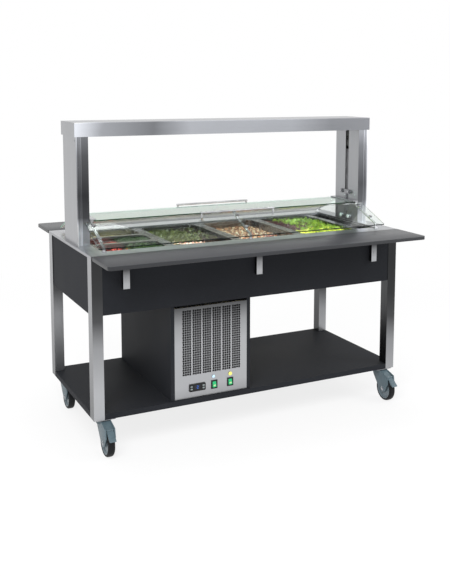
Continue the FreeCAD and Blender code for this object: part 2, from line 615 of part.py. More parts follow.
# counterweights, pulleys and cables inside the posts
PM = "-(post_out - post_width / 2)"
weight = box("weight", PM + " - 22", PM + " + 22", "46", "104", "pulley_height - 60 - weight_height", "pulley_height - 60")
weight_eye = rod("weight_eye", "z", "4", PM, "2 * pulley_radius", "pulley_height - 61", "13")
node("counterweights", both("weight_m", fuse("weight_set", [weight, weight_eye]), "x"))
sheave = rod("sheave", "x", "pulley_radius + 4", PM + " - 6", "pulley_radius", "pulley_height", "12")
groove_out = rod("groove_out", "x", "pulley_radius + 10", PM + " - 2", "pulley_radius", "pulley_height", "4")
groove_in = rod("groove_in", "x", "pulley_radius - 1.5", PM + " - 3", "pulley_radius", "pulley_height", "6")
sheave_bore = rod("sheave_bore", "x", "5 + pin_clear", PM + " - 8", "pulley_radius", "pulley_height", "16")
pulley = cut("pulley_bored", cut("pulley", sheave, [cut("groove", groove_out, [groove_in])]), [sheave_bore])
node("cable_pulleys", both("pulley_m", pulley, "x"))
hood_cable = rod("hood_cable", "z", "1.4", PM, "0", "hood_top + 11.3", "pulley_height - hood_top - 11.3")
node("hood_cables", both("hood_cable_m", hood_cable, "x"))
weight_cable = rod("weight_cable", "z", "1.4", PM, "2 * pulley_radius", "pulley_height - 47.5", "47.5")
node("weight_cables", both("weight_cable_m", weight_cable, "x"))

# ============================================================ tray slides
TT = "(%s + tray_lift)" % CH
TB = "(%s + tray_lift - tray_thickness)" % CH
T0 = "(%s + tray_gap)" % HD
PY = "(%s + 14)" % HD
PZ = "(%s - 10)" % TB


def tray_board(name):
    owner = body(name)
    s = round_rectangle(owner, "XY_Plane", TB, "-" + HL, HL, "-%s - tray_depth" % T0, "-" + T0, "tray_corner")
    pad(owner, s, "tray_thickness")
    return owner


def tray_arms(name):
    arms = []
    for x in ("-bracket_pitch", "0", "bracket_pitch"):
        bar = box("arm", x + " - arm_width / 2", x + " + arm_width / 2", "-%s + 8 - arm_length" % PY, "-%s + 8" % PY,
                  TB + " - arm_height", TB)
        hollow = box("arm_hollow", x + " - arm_width / 2 + 2", x + " + arm_width / 2 - 2", "-%s + 7 - arm_length" % PY, "-%s + 9" % PY,
                     TB + " - arm_height - 1", TB + " - 2.5")
        eye = rod("arm_eye", "x", "pin_dia / 2 + pin_clear", x + " - arm_width", "-" + PY, PZ, "2 * arm_width")
        arms.append(cut(name, bar, [hollow, eye]))
    return arms


node("front_tray_board", [tray_board("front_board")])
node("front_tray_arms", tray_arms("front_arm"))
node("rear_tray_board", [mirror("rear_board_m", tray_board("rear_board"), "y")])
node("rear_tray_arms", [mirror("rear_arm_m", a, "y") for a in tray_arms("rear_arm")])
face = "(%s - skirt_recess)" % HD
brackets = []
for x in ("-bracket_pitch", "0", "bracket_pitch"):
    outline = [("-" + face, "bracket_bottom"), ("-%s - 5.5" % PY, "bracket_bottom"), ("-%s - 5.5" % PY, PZ + " + 2.4"),
               ("-%s - 2.4" % PY, PZ + " + 5.5"), ("-" + face, PZ + " + 5.5")]
    out = prism("bracket", "YZ_Plane", x + " - bracket_width / 2", outline, "bracket_width")
    inner = box("bracket_in", x + " - bracket_width / 2 + 2.5", x + " + bracket_width / 2 - 2.5", "-%s - 3" % PY,
                "-%s + 1" % face, "bracket_bottom - 1", CH)
    fork = box("bracket_fork", x + " - bracket_width / 2 + 2.5", x + " + bracket_width / 2 - 2.5", "-%s - 10" % PY,
               "-%s + 1" % face, PZ + " - 9", CH)
    screw_head = hexagon("bracket_screw", "5.5", x, "-%s - 5.5 - 1.2" % PY, "bracket_bottom + 48", "2.5")
    pin = rod("tray_pin", "x", "pin_dia / 2", x + " - bracket_width / 2 - 4", "-" + PY, PZ, "bracket_width + 8")
    channel = fuse("bracket_set", [cut("bracket_u", out, [inner, fork]), screw_head, pin])
    brackets += both("bracket_rear", channel, "y")
node("tray_brackets", brackets)

# ============================================================ cooling unit cabinet
UL, UR, UD = "unit_left", "unit_right", "unit_half_depth"
side = box("unit_side", UL, UL + " + unit_panel", "-" + UD, UD, SHELF, "skirt_bottom")
side_r = box("unit_side", UR + " - unit_panel", UR, "-" + UD, UD, SHELF, "skirt_bottom")
node("unit_side_panels", [side, side_r])
IX0, IX1 = "(unit_left + unit_panel)", "(unit_right - unit_panel)"
rear = box("unit_rear", IX0, IX1, UD + " - 4", UD, SHELF, "skirt_bottom")
rear_cuts = [rod("rear_drain", "y", "16", "-120", UD + " - 10", "drain_z", "20")]
for k in range(9):
    z = "(300 + %d * 22)" % k
    rear_cuts.append(box("louvre", "-380", "-170", UD + " - 6", UD + " + 2", z, z + " + 7"))
inlet_seat = box("inlet_seat", "-110", "-80", UD + " - 6", UD + " + 2", "216", "238")
node("unit_rear_panel", [cut("rear_cut", rear, rear_cuts + [inlet_seat])])

plate = box("grille", IX0, IX1, "-%s" % UD, "-%s + 2" % UD, SHELF + " + 1", "grille_top")
grille_cuts = []
column = "((air_right - air_left - air_column) / 5)"
for c in range(6):
    x = "(air_left + %d * %s)" % (c, column)
    for r in range(20):
        z = "(air_bottom + %d * (air_top - air_bottom - air_slot) / 19)" % r
        grille_cuts.append(box("air_slot", x, x + " + air_column", "-%s - 2" % UD, "-%s + 4" % UD, z, z + " + air_slot"))
CZ = "control_z"
grille_cuts.append(box("control_seat", "-344", "-270", "-%s - 2" % UD, "-%s + 4" % UD, CZ + " - 14.8", CZ + " + 14.8"))
for x in ("-221", "-139"):
    grille_cuts.append(box("switch_seat", x + " - 12", x + " + 12", "-%s - 2" % UD, "-%s + 4" % UD, CZ + " - 17.6", CZ + " + 17.6"))
node("grille_panel", [cut("grille_cut", plate, grille_cuts)])

# controller with a rounded face, display recess and four buttons
face_plate = body("controller")
s = round_rectangle(face_plate, "XZ_Plane", UD, "-348", "-266", CZ + " - 18", CZ + " + 18", "5")
pad(face_plate, s, "4")
ctl_box = box("ctl_box", "-343.7", "-270.3", "-%s - 1" % UD, "-%s + 55" % UD, CZ + " - 14.4", CZ + " + 14.4")
display = box("display", "-322", "-292", "-%s - 5" % UD, "-%s - 2.8" % UD, CZ + " - 10", CZ + " + 11")
button_x = ("-337", "-337", "-277", "-277")
button_z = ("6.5", "-5.5", "6.5", "-5.5")
button_holes = []
for bx, bz in zip(button_x, button_z):
    button_holes.append(box("button_hole", bx + " - 5", bx + " + 5", "-%s - 6" % UD, "-%s + 8" % UD, "%s + %s - 3.6" % (CZ, bz), "%s + %s + 3.6" % (CZ, bz)))
node("controller", [cut("controller_cut", fuse("controller_solid", [face_plate, ctl_box]), [display] + button_holes)])
for k, (bx, bz) in enumerate(zip(button_x, button_z)):
    key = box("button", bx + " - 4.8", bx + " + 4.8", "-%s - 5.5" % UD, "-%s + 6" % UD, "%s + %s - 3.4" % (CZ, bz), "%s + %s + 3.4" % (CZ, bz))
    node("controller_button_%d" % (k + 1), [key])

# rocker switches in bezels, with a pilot lens above each
bezels = []
for x in ("-221", "-139"):
    flangeb = box("bezel", x + " - 15.5", x + " + 15.5", "-%s - 3" % UD, "-" + UD, CZ + " - 20.5", CZ + " + 20.5")
    neck = box("bezel_neck", x + " - 11.7", x + " + 11.7", "-%s - 1" % UD, "-%s + 26" % UD, CZ + " - 17.3", CZ + " + 17.3")
    pocket = box("bezel_pocket", x + " - 9.2", x + " + 9.2", "-%s - 5" % UD, "-%s + 20" % UD, CZ + " - 15.2", CZ + " + 15.2")
    bezels.append(cut("bezel_cut", fuse("bezel_set", [flangeb, neck]), [pocket]))
for x, r in (("-225", "7"), ("-139", "9")):
    bezels.append(rod("pilot", "y", r, x, "-%s - 2" % UD, CZ + " + 39", "2"))
node("switch_bezels", bezels)
for label, x in (("cooling_rocker", "-221"), ("lamp_rocker", "-139")):
    rocker_shape = [("-%s - 2" % UD, CZ + " - 12.8"), ("-%s - 6" % UD, CZ + " - 12.8"), ("-%s - 3" % UD, CZ + " + 0"),
                    ("-%s - 1.5" % UD, CZ + " + 12.8"), ("-%s + 8" % UD, CZ + " + 11.5"), ("-%s + 10" % UD, CZ + " + 0"), ("-%s + 8" % UD, CZ + " - 11.5")]
    rocker = prism(label, "YZ_Plane", x + " - 8.8", rocker_shape, "17.6")
    rocker_pin = rod("rocker_pin", "x", "2", x + " - 9.15", "-%s + 5" % UD, CZ, "18.3")
    node(label, [fuse("rocker_set", [rocker, rocker_pin])])

# base tray, compressor, condenser, fan
base = box("unit_base", IX0 + " + 4", IX1 + " - 4", "60 - " + UD, UD + " - 20", SHELF, SHELF + " + 3")
lip_a = box("base_lip", IX0 + " + 4", IX1 + " - 4", "60 - " + UD, "63 - " + UD, SHELF, SHELF + " + 20")
lip_b = box("base_lip", IX0 + " + 4", IX1 + " - 4", UD + " - 23", UD + " - 20", SHELF, SHELF + " + 20")
node("unit_base", [fuse("unit_base_set", [base, lip_a, lip_b])])
BZ = "(%s + 3)" % SHELF
can = rod("can", "z", "88", "-235", "110", BZ + " + 14", "126")
domes = []
for low, r0, r1, high in (("139", "88", "72", "24"), ("162", "72.6", "34", "17")):
    cone = doc.addObject("Part::Cone", fresh("dome"))
    bind(cone, "Radius1", r0)
    bind(cone, "Radius2", r1)
    bind(cone, "Height", high)
    bind(cone, "Placement.Base.x", "-235")
    bind(cone, "Placement.Base.y", "110")
    bind(cone, "Placement.Base.z", BZ + " + " + low)
    domes.append(cone)
can_core = rod("can_core", "z", "76", "-235", "110", BZ + " + 24", "116")
feet = [box("comp_foot", "-335", "-135", "95", "125", BZ + " + 10", BZ + " + 14"), box("comp_foot", "-250", "-220", "10", "210", BZ + " + 10", BZ + " + 14")]
for x, y in (("-328", "110"), ("-142", "110"), ("-235", "17"), ("-235", "203")):
    feet.append(box("comp_mount", x + " - 7", x + " + 7", y + " - 7", y + " + 7", BZ, BZ + " + 10.5"))
node("compressor", [cut("compressor_hollow", fuse("compressor_set", [can] + domes + feet), [can_core])])

fins = [box("fin_plate", "-400", "-397", "fan_y - 80", "fan_y - 40", BZ, "grille_top - 10"), box("fin_plate", "-73", "-70", "fan_y - 80", "fan_y - 40", BZ, "grille_top - 10")]
comb = [("-397.5", "fan_y - 62"), ("-72.5", "fan_y - 62"), ("-72.5", "fan_y - 58"), ("-397.5", "fan_y - 58")]
block = [prism("fin_core", "XY_Plane", "290", comb, "grille_top - 302")]
for k in range(24):
    x = "(-391.5 + %d * 13.6)" % k
    block.append(box("fin", x, x + " + 1.2", "fan_y - 76", "fan_y - 44", "292", "grille_top - 14"))
fins += block
node("condenser_coil", [fuse("condenser", fins)])

FY = "fan_y"
shroud = box("shroud", "-396", "-74", FY + " - 22", FY + " - 19", BZ, "grille_top - 10")
mouth = rod("mouth", "y", "fan_radius + 6", "-235", FY + " - 30", "fan_height", "20")
collar_out = rod("collar", "y", "fan_radius + 8", "-235", FY + " - 22", "fan_height", "30")
collar_in = rod("collar_in", "y", "fan_radius + 6", "-235", FY + " - 30", "fan_height", "60")
motor = rod("motor", "y", "38", "-235", FY + " + 22", "fan_height", "55")
shaft = rod("motor_shaft", "y", "4", "-235", FY + " - 12", "fan_height", "36")
ribs = [box("motor_rib", "-235 - fan_radius - 7", "-235 + fan_radius + 7", FY + " + 26", FY + " + 30", "fan_height - 6", "fan_height + 6"),
        box("motor_rib", "-235 - fan_radius - 7", "-235 - fan_radius - 5", FY + " - 20", FY + " + 30", "fan_height - 6", "fan_height + 6"),
        box("motor_rib", "-235 + fan_radius + 5", "-235 + fan_radius + 7", FY + " - 20", FY + " + 30", "fan_height - 6", "fan_height + 6")]
shroud_set = cut("shroud_cut", fuse("shroud_set", [shroud, collar_out]), [collar_in])
node("fan_frame", [fuse("fan_frame_set", [shroud_set, motor, shaft] + ribs)])
hub = rod("hub", "y", "26", "-235", FY + " - 10", "fan_height", "26")
blades = [hub]
for k in range(5):
    blade = doc.addObject("Part::Box", fresh("blade"))
    bind(blade, "Length", "fan_radius - 24")
    bind(blade, "Width", "2")
    bind(blade, "Height", "62")
    turn = FreeCAD.Rotation(V(0, 1, 0), 72 * k)
    tilt = turn.multiply(FreeCAD.Rotation(V(1, 0, 0), 22))
    corner = turn.multVec(V(24, 0, 0)) + tilt.multVec(V(0, -1, -31))
    blade.Placement = FreeCAD.Placement(V(-235 + corner.x, num("fan_y") + 1 + corner.y, num("fan_height") + corner.z), tilt)
    bind(blade, "Placement.Base.x", "-235 + (%.4f)" % corner.x)
    bind(blade, "Placement.Base.y", "fan_y + 1 + (%.4f)" % corner.y)
    bind(blade, "Placement.Base.z", "fan_height + (%.4f)" % corner.z)
    blades.append(blade)
hub_bore = rod("hub_bore", "y", "4 + pin_clear", "-235", FY + " - 14", "fan_height", "40")
node("fan_blade", [cut("fan_blade_cut", fuse("fan_blade_set", blades), [hub_bore])])

# refrigerant lines: compressor to condenser and up to the evaporator
LZ = "(%s + 62)" % BZ


suction = [rod("suction", "z", "4.2", "-300", "-56", LZ + " - 5.5", "%s - %s + 5.5" % (FLOOR, LZ)), rod("suction", "y", "3.8", "-300", "-56", LZ, "102")]
hot = [rod("hot", "x", "3", "-146.8", "110", LZ, "83.8"), rod("hot", "y", "3.3", "-63", "fan_y - 62.5", LZ, "177 - fan_y"),
       rod("hot", "x", "3", "-69.8", "fan_y - 58", LZ, "6.8")]
node("refrigerant_lines", [fuse("suction_line", suction), fuse("hot_line", hot)])
ebox = box("ebox", "-404", "-330", UD + " - 100", UD + " - 4.3", "grille_top - 196", "grille_top - 56")
inlet_body = box("inlet", "-109.7", "-80.3", UD + " - 50", UD + " + 3", "216.3", "237.7")
inlet_flange = box("inlet_flange", "-120", "-70", UD, UD + " + 3", "212", "242")
inlet_in = box("inlet_in", "-106.5", "-83.5", UD + " - 14", UD + " + 6", "219.5", "234.5")
node("electrical_box", [ebox, cut("inlet_cut", fuse("inlet_set", [inlet_body, inlet_flange]), [inlet_in])])

# ============================================================ castors
WR = "wheel_dia / 2"
plates = []
for sx in ("-", ""):
    for sy in ("-", ""):
        mx, my = sx + "castor_x", sy + "castor_y"
        plate_c = slab("castor_plate", mx + " - plate_size / 2", mx + " + plate_size / 2", my + " - plate_size / 2 + 4",
                       my + " + plate_size / 2 - 4", "8", "castor_height - 4", "castor_height")
        stem_c = rod("castor_stem", "z", "9", mx, my, "castor_height - 16", "13")
        plates.append(fuse("plate_set", [plate_c, stem_c]))
node("castor_plates", plates)
for label, sx, sy in (("fl", "-", "-"), ("fr", "", "-"), ("rl", "-", ""), ("rr", "", "")):
    mx, my = "(%scastor_x)" % sx, "(%scastor_y)" % sy
    ay = "(%s - castor_trail)" % my
    crown = rod("crown", "z", "33", mx, my, "castor_height - 24", "19.6")
    crown_bore = rod("crown_bore", "z", "9 + pin_clear", mx, my, "castor_height - 17", "14")
    cheek_line = [("%s + 30" % my, "castor_height - 24"), ("%s + 30" % my, "castor_height - 12"), ("%s - 34" % my, "castor_height - 8"),
                  ("%s - 38" % ay, "castor_height - 24"), ("%s - 46" % ay, WR + " + 34"), ("%s - 20" % ay, WR + " - 12"),
                  ("%s + 8" % ay, WR + " - 20"), ("%s + 34" % ay, WR + " + 4"), ("%s + 18" % my, "castor_height - 44")]
    cheeks = []
    for off in ("- wheel_width / 2 - 7", "+ wheel_width / 2 + 2"):
        cheeks.append(prism("cheek", "YZ_Plane", "%s %s" % (mx, off), cheek_line, "5"))
    bridge_line = [("%s + 30" % my, "castor_height - 24"), ("%s + 30" % my, "castor_height - 12"), ("%s - 34" % my, "castor_height - 8"),
                   ("%s - 22" % ay, "castor_height - 26"), ("%s - 26" % ay, "castor_height - 31"), ("%s" % ay, "castor_height - 31")]
    bridge = prism("bridge", "YZ_Plane", "%s - wheel_width / 2 - 7" % mx, bridge_line, "wheel_width + 14")
    axle_c = rod("axle", "x", "6", "%s - wheel_width / 2 - 10" % mx, ay, WR, "wheel_width + 20")
    pedal_pin = rod("pedal_pin", "x", "2.5", "%s - wheel_width / 2 - 7" % mx, "%s - 32" % ay, WR + " + 66", "wheel_width + 14")
    node("castor_fork_" + label, [cut("fork_cut", fuse("fork_set", [crown, bridge, axle_c, pedal_pin] + cheeks), [crown_bore])])
    tyre = rod("tyre", "x", WR, "%s - wheel_width / 2" % mx, ay, WR, "wheel_width")
    tyre_in = rod("tyre_in", "x", WR + " - 11", "%s - wheel_width / 2 - 1" % mx, ay, WR, "wheel_width + 2")
    disc = rod("disc", "x", WR + " - 11", "%s - wheel_width / 2 + 4" % mx, ay, WR, "wheel_width - 8")
    hub_c = rod("hub_c", "x", "17", "%s - wheel_width / 2 - 1.5" % mx, ay, WR, "wheel_width + 3")
    wheel_bore = rod("wheel_bore", "x", "6 + pin_clear", "%s - wheel_width" % mx, ay, WR, "2 * wheel_width")
    disc_cut = cut("disc_cut", fuse("disc_set", [disc, hub_c]), [wheel_bore])
    node("castor_wheel_" + label, [cut("tyre_cut", tyre, [tyre_in]), disc_cut])
for label, sx in (("fl", "-"), ("fr", "")):
    mx, my = "(%scastor_x)" % sx, "(-castor_y)"
    ay = "(%s - castor_trail)" % my
    pedal_line = [("%s - 36" % ay, WR + " + 63"), ("%s - 54" % ay, WR + " + 51"), ("%s - 76" % ay, WR + " + 35"), ("%s - 78" % ay, WR + " + 29"),
                  ("%s - 56" % ay, WR + " + 38.5"), ("%s - 45" % ay, WR + " + 50"), ("%s - 33" % ay, WR + " + 60")]
    pedal = prism("pedal", "YZ_Plane", "%s - 15" % mx, pedal_line, "30")
    pedal_hub = rod("pedal_hub", "x", "5", "%s - 15" % mx, "%s - 32" % ay, WR + " + 66", "30")
    pedal_bore = rod("pedal_bore", "x", "2.5 + pin_clear", "%s - 20" % mx, "%s - 32" % ay, WR + " + 66", "40")
    node("brake_pedal_" + label, [cut("pedal_cut", fuse("pedal_set", [pedal, pedal_hub]), [pedal_bore])])

doc.recompute()
if doc.getObject("Probe") is not None:
    doc.removeObject("Probe")
doc.recompute()
bad = [o.Name for o in doc.Objects if "Invalid" in o.State or "Error" in o.State]
if bad:
    raise SystemExit("failed objects: %s" % bad[:20])
for n in nodes:
    if n.Shape.isNull() or not n.Shape.isValid():
        raise SystemExit("bad shape: " + n.Label)
if len(nodes) > 60:
    raise SystemExit("too many nodes: %d" % len(nodes))
os.makedirs("parts", exist_ok=True)
for n in nodes:
    n.Shape.exportStep("parts/%s.step" % n.Label)
print("wrote %d sub-parts" % len(nodes))
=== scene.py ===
"""Mobile salad bar: finishes, sheets, wheels, fittings, pan fillings and studio round its CAD frame."""

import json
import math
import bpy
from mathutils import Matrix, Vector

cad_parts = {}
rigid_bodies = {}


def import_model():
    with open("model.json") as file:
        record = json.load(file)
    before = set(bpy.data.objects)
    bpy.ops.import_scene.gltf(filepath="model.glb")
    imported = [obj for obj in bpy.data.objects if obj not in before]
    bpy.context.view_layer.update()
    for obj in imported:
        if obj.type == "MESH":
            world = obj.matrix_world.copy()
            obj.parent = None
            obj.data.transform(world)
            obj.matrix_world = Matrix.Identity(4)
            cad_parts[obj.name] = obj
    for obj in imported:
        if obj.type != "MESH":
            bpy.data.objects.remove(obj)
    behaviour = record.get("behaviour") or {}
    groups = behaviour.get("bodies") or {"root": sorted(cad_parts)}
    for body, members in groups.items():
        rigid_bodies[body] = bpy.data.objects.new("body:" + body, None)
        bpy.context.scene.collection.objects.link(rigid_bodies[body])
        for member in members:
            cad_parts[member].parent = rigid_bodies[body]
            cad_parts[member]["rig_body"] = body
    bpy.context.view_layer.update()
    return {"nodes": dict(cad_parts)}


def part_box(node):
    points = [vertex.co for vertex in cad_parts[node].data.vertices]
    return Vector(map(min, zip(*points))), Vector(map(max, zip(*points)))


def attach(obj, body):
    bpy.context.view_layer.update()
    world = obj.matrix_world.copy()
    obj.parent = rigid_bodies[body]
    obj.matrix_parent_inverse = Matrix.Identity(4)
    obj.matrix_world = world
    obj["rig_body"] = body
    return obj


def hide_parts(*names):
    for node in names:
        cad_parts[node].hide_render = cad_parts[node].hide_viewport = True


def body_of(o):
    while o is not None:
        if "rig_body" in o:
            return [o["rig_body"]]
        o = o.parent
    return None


bl_info = {
    "name": "Salad Bar Dresser",
    "version": (1, 0, 0),
    "blender": (4, 5, 0),
    "location": "3D View > Sidebar > Salad Bar",
    "description": "Dresses the frame of a mobile salad bar with finishes, sheets, wheels and fittings",
    "category": "Object",
}

import bmesh
import bpy
from bpy.props import FloatProperty, FloatVectorProperty, IntProperty, PointerProperty
from mathutils import Matrix, Vector, noise

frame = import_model()
NODES = frame["nodes"]
CART = "cart"
HOOD = "hood"
CORNERS = ("fl", "fr", "rl", "rr")
BRAKED_CORNERS = ("fl", "fr")
UPRIGHT = Matrix.Rotation(-math.pi / 2, 4, "Y")


# ------------------------------------------------------------------ settings
def tone(name, text, default):
    limits = {"min": 0.0, "max": 1.0}
    limits["default"] = default
    return FloatVectorProperty(name=name, description=text, subtype="COLOR", size=3, **limits)


def length(name, text, default):
    return FloatProperty(name=name, description=text, subtype="DISTANCE", unit="LENGTH", default=default)


def lamp_power(name, text, default):
    return FloatProperty(name=name, description=text, subtype="POWER", default=default)


class SALADBAR_PG_finishes(bpy.types.PropertyGroup):
    steel: tone("Steel", "Tone of the brushed stainless sheet", (0.45, 0.455, 0.475))
    laminate: tone("Laminate", "Tone of the anthracite boards", (0.0165, 0.0178, 0.0212))
    glass: tone("Glass", "Tint that the glass takes on along its depth", (0.10, 0.72, 0.50))
    housing: tone("Castor housing", "Tone of the moulded castor housings", (0.080, 0.118, 0.138))
    tyre: tone("Tyre", "Tone of the rubber tyres", (0.006, 0.0068, 0.008))
    steel_roughness: FloatProperty(
        name="Steel roughness",
        description="Mean roughness of the brushed sheet",
        min=0.05,
        max=1.0,
        default=0.33,
    )


class SALADBAR_PG_sheets(bpy.types.PropertyGroup):
    cell: length("Grille cell", "Pitch of the air slots in the grille", 0.011)
    slot: length("Slot length", "Length of one air slot", 0.0107)
    slot_width: length("Slot width", "Width of one air slot", 0.0080)
    sheet: length("Sheet", "Thickness of the perforated sheets", 0.0015)
    strip_cell: length("Strip cell", "Pitch of the slots in the divider strips", 0.0064)


class SALADBAR_PG_wheels(bpy.types.PropertyGroup):
    tread: length("Tread radius", "Outer radius of the tyre", 0.0625)
    rim: length("Rim radius", "Radius where the tyre meets its disc", 0.0515)
    half_width: length("Half width", "Half the width of the tyre", 0.016)
    segments: IntProperty(name="Segments", description="Facets round a wheel", min=24, max=128, default=72)


class SALADBAR_PG_fillings(bpy.types.PropertyGroup):
    level: length("Level", "Depth of the fillings below the pan rims", 0.042)
    heap: length("Heap", "Rise of the fillings in the middle of a pan", 0.014)
    seed: IntProperty(name="Seed", description="Seed of the scattered pieces", default=7)


class SALADBAR_PG_studio(bpy.types.PropertyGroup):
    floor: tone("Floor", "Tone of the floor", (0.82, 0.82, 0.825))
    key: lamp_power("Key light", "Power of the large soft key light", 210.0)
    fill: lamp_power("Fill light", "Power of the soft fill light", 70.0)
    ambient: FloatProperty(
        name="Ambient", description="Strength of the white surroundings on matt surfaces", default=0.62)
    focal: length("Focal length", "Focal length of the camera on a 36 mm long side, in metres", 0.05344)


class SALADBAR_PG_all(bpy.types.PropertyGroup):
    finishes: PointerProperty(type=SALADBAR_PG_finishes)
    sheets: PointerProperty(type=SALADBAR_PG_sheets)
    wheels: PointerProperty(type=SALADBAR_PG_wheels)
    fillings: PointerProperty(type=SALADBAR_PG_fillings)
    studio: PointerProperty(type=SALADBAR_PG_studio)


# ------------------------------------------------------------------ material workshop
def wired(tree, kind, values, settings):
    """New node with its settings made, its inputs set and the sockets among its values linked."""
    node = tree.nodes.new(kind)
    for key, value in settings.items():
        setattr(node, key, value)
    for key, value in (values or {}).items():
        if isinstance(value, bpy.types.NodeSocket):
            tree.links.new(value, node.inputs[key])
        else:
            node.inputs[key].default_value = value
    return node


class Recipe:
    """Small builder for a material's nodes."""

    def __init__(self, name):
        self.material = bpy.data.materials.new(name)
        self.material.use_nodes = True
        self.tree = self.material.node_tree
        self.tree.nodes.clear()
        self.out = self.tree.nodes.new("ShaderNodeOutputMaterial")
        self.coords = self.add("TexCoord").outputs["Object"]

    def add(self, kind, values=None, **settings):
        return wired(self.tree, "ShaderNode" + kind, values, settings)

    def grain(self, scale, detail, rough=0.55):
        where = self.add("Mapping", {"Vector": self.coords, "Scale": scale}, vector_type="POINT").outputs[0]
        values = {"Vector": where, "Scale": 1.0, "Detail": detail, "Roughness": rough}
        return self.add("TexNoise", values).outputs["Fac"]

    def span(self, value, low, high, start=0.0, end=1.0):
        values = {"Value": value, "From Min": start, "From Max": end, "To Min": low, "To Max": high}
        return self.add("MapRange", values).outputs["Result"]

    def math(self, operation, a, b=0.0, c=0.0):
        return self.add("Math", {0: a, 1: b, 2: c}, operation=operation).outputs[0]

    def mix(self, factor, a, b, blend="MIX"):
        return self.add("Mix", {0: factor, 6: a, 7: b}, data_type="RGBA", blend_type=blend).outputs[2]

    def ramp(self, value, stops):
        node = self.add("ValToRGB", {"Fac": value})
        items = node.color_ramp.elements
        while len(items) < len(stops):
            items.new(0.5)
        for item, (at, colour) in zip(items, stops):
            item.position = at
            item.color = (*colour, 1.0)
        return node.outputs["Color"]

    def bump(self, height, strength, distance=0.001):
        return self.add("Bump", {"Height": height, "Strength": strength, "Distance": distance}).outputs[0]

    def facing(self):
        """The three parts of the surface's direction."""
        return self.add("SeparateXYZ", {0: self.add("NewGeometry").outputs["Normal"]}).outputs

    def toned(self, factor, base, tint):
        """The base colour, multiplied by a tint where the factor is 1."""
        return self.mix(factor, base, self.mix(1.0, base, (*tint, 1.0), "MULTIPLY"))

    def worn(self, fine, cloud, spread, low, high, start=0.3, end=0.7):
        """Roughness that follows a fine grain and broad clouds."""
        return self.math("ADD", self.span(fine, *spread, 0.3, 0.7), self.span(cloud, low, high, start, end))

    def finish(self, values):
        shader = self.add("BsdfPrincipled", values)
        self.tree.links.new(shader.outputs[0], self.out.inputs["Surface"])
        return self.material


def rgb(values, factor=1.0):
    return (values[0] * factor, values[1] * factor, values[2] * factor, 1.0)


def brushed_steel(name, colour, roughness, grain="x", painted_side_shade=0.8, painted_top_tone=1.0):
    """Stainless sheet with streaks along one axis; end faces get painted shade and upward faces a painted
    lighter or darker tone.
    """
    r = Recipe(name)
    fine_scale, broad_scale = [420, 420, 420], [26, 26, 26]
    fine_scale["xyz".index(grain)] = 1.2
    broad_scale["xyz".index(grain)] = 0.5
    fine = r.grain(fine_scale, 2.0)
    wide = r.grain(broad_scale, 2.0)
    cloud = r.grain((3, 3, 3), 3.0)
    smear = r.math("MULTIPLY_ADD", wide, 0.5, r.math("MULTIPLY", cloud, 0.5))
    base = r.mix(r.span(smear, 0.0, 1.0, 0.3, 0.7), rgb(colour, 0.86), rgb(colour, 1.12))
    facing = r.facing()
    # Painted shade on faces turned along X, and a painted tone on upward faces, set by the direction of the
    # face.
    base = r.toned(r.math("ABSOLUTE", facing[0]), base, (painted_side_shade, painted_side_shade, painted_side_shade * 1.01))
    base = r.toned(r.math("MAXIMUM", facing[2], 0.0), base, (painted_top_tone, painted_top_tone, painted_top_tone))
    rough = r.worn(fine, smear, (-0.06, 0.06), roughness - 0.05, roughness + 0.07)
    bump = r.bump(fine, 0.06, 0.0004)
    return r.finish({"Base Color": base, "Metallic": 1.0, "Roughness": rough, "Normal": bump})


def scaled(tones, factor):
    return [(place, tone * factor) for place, tone in tones]


def cool_greys(tones, start, end, strength=1.0):
    """Ramp stops between two places, from (place in metres, tone) pairs."""
    stops = []
    for place, tone in tones:
        grey = tone * strength
        stops.append(((place - start) / (end - start), (grey * 0.985, grey, grey * 1.035)))
    return stops


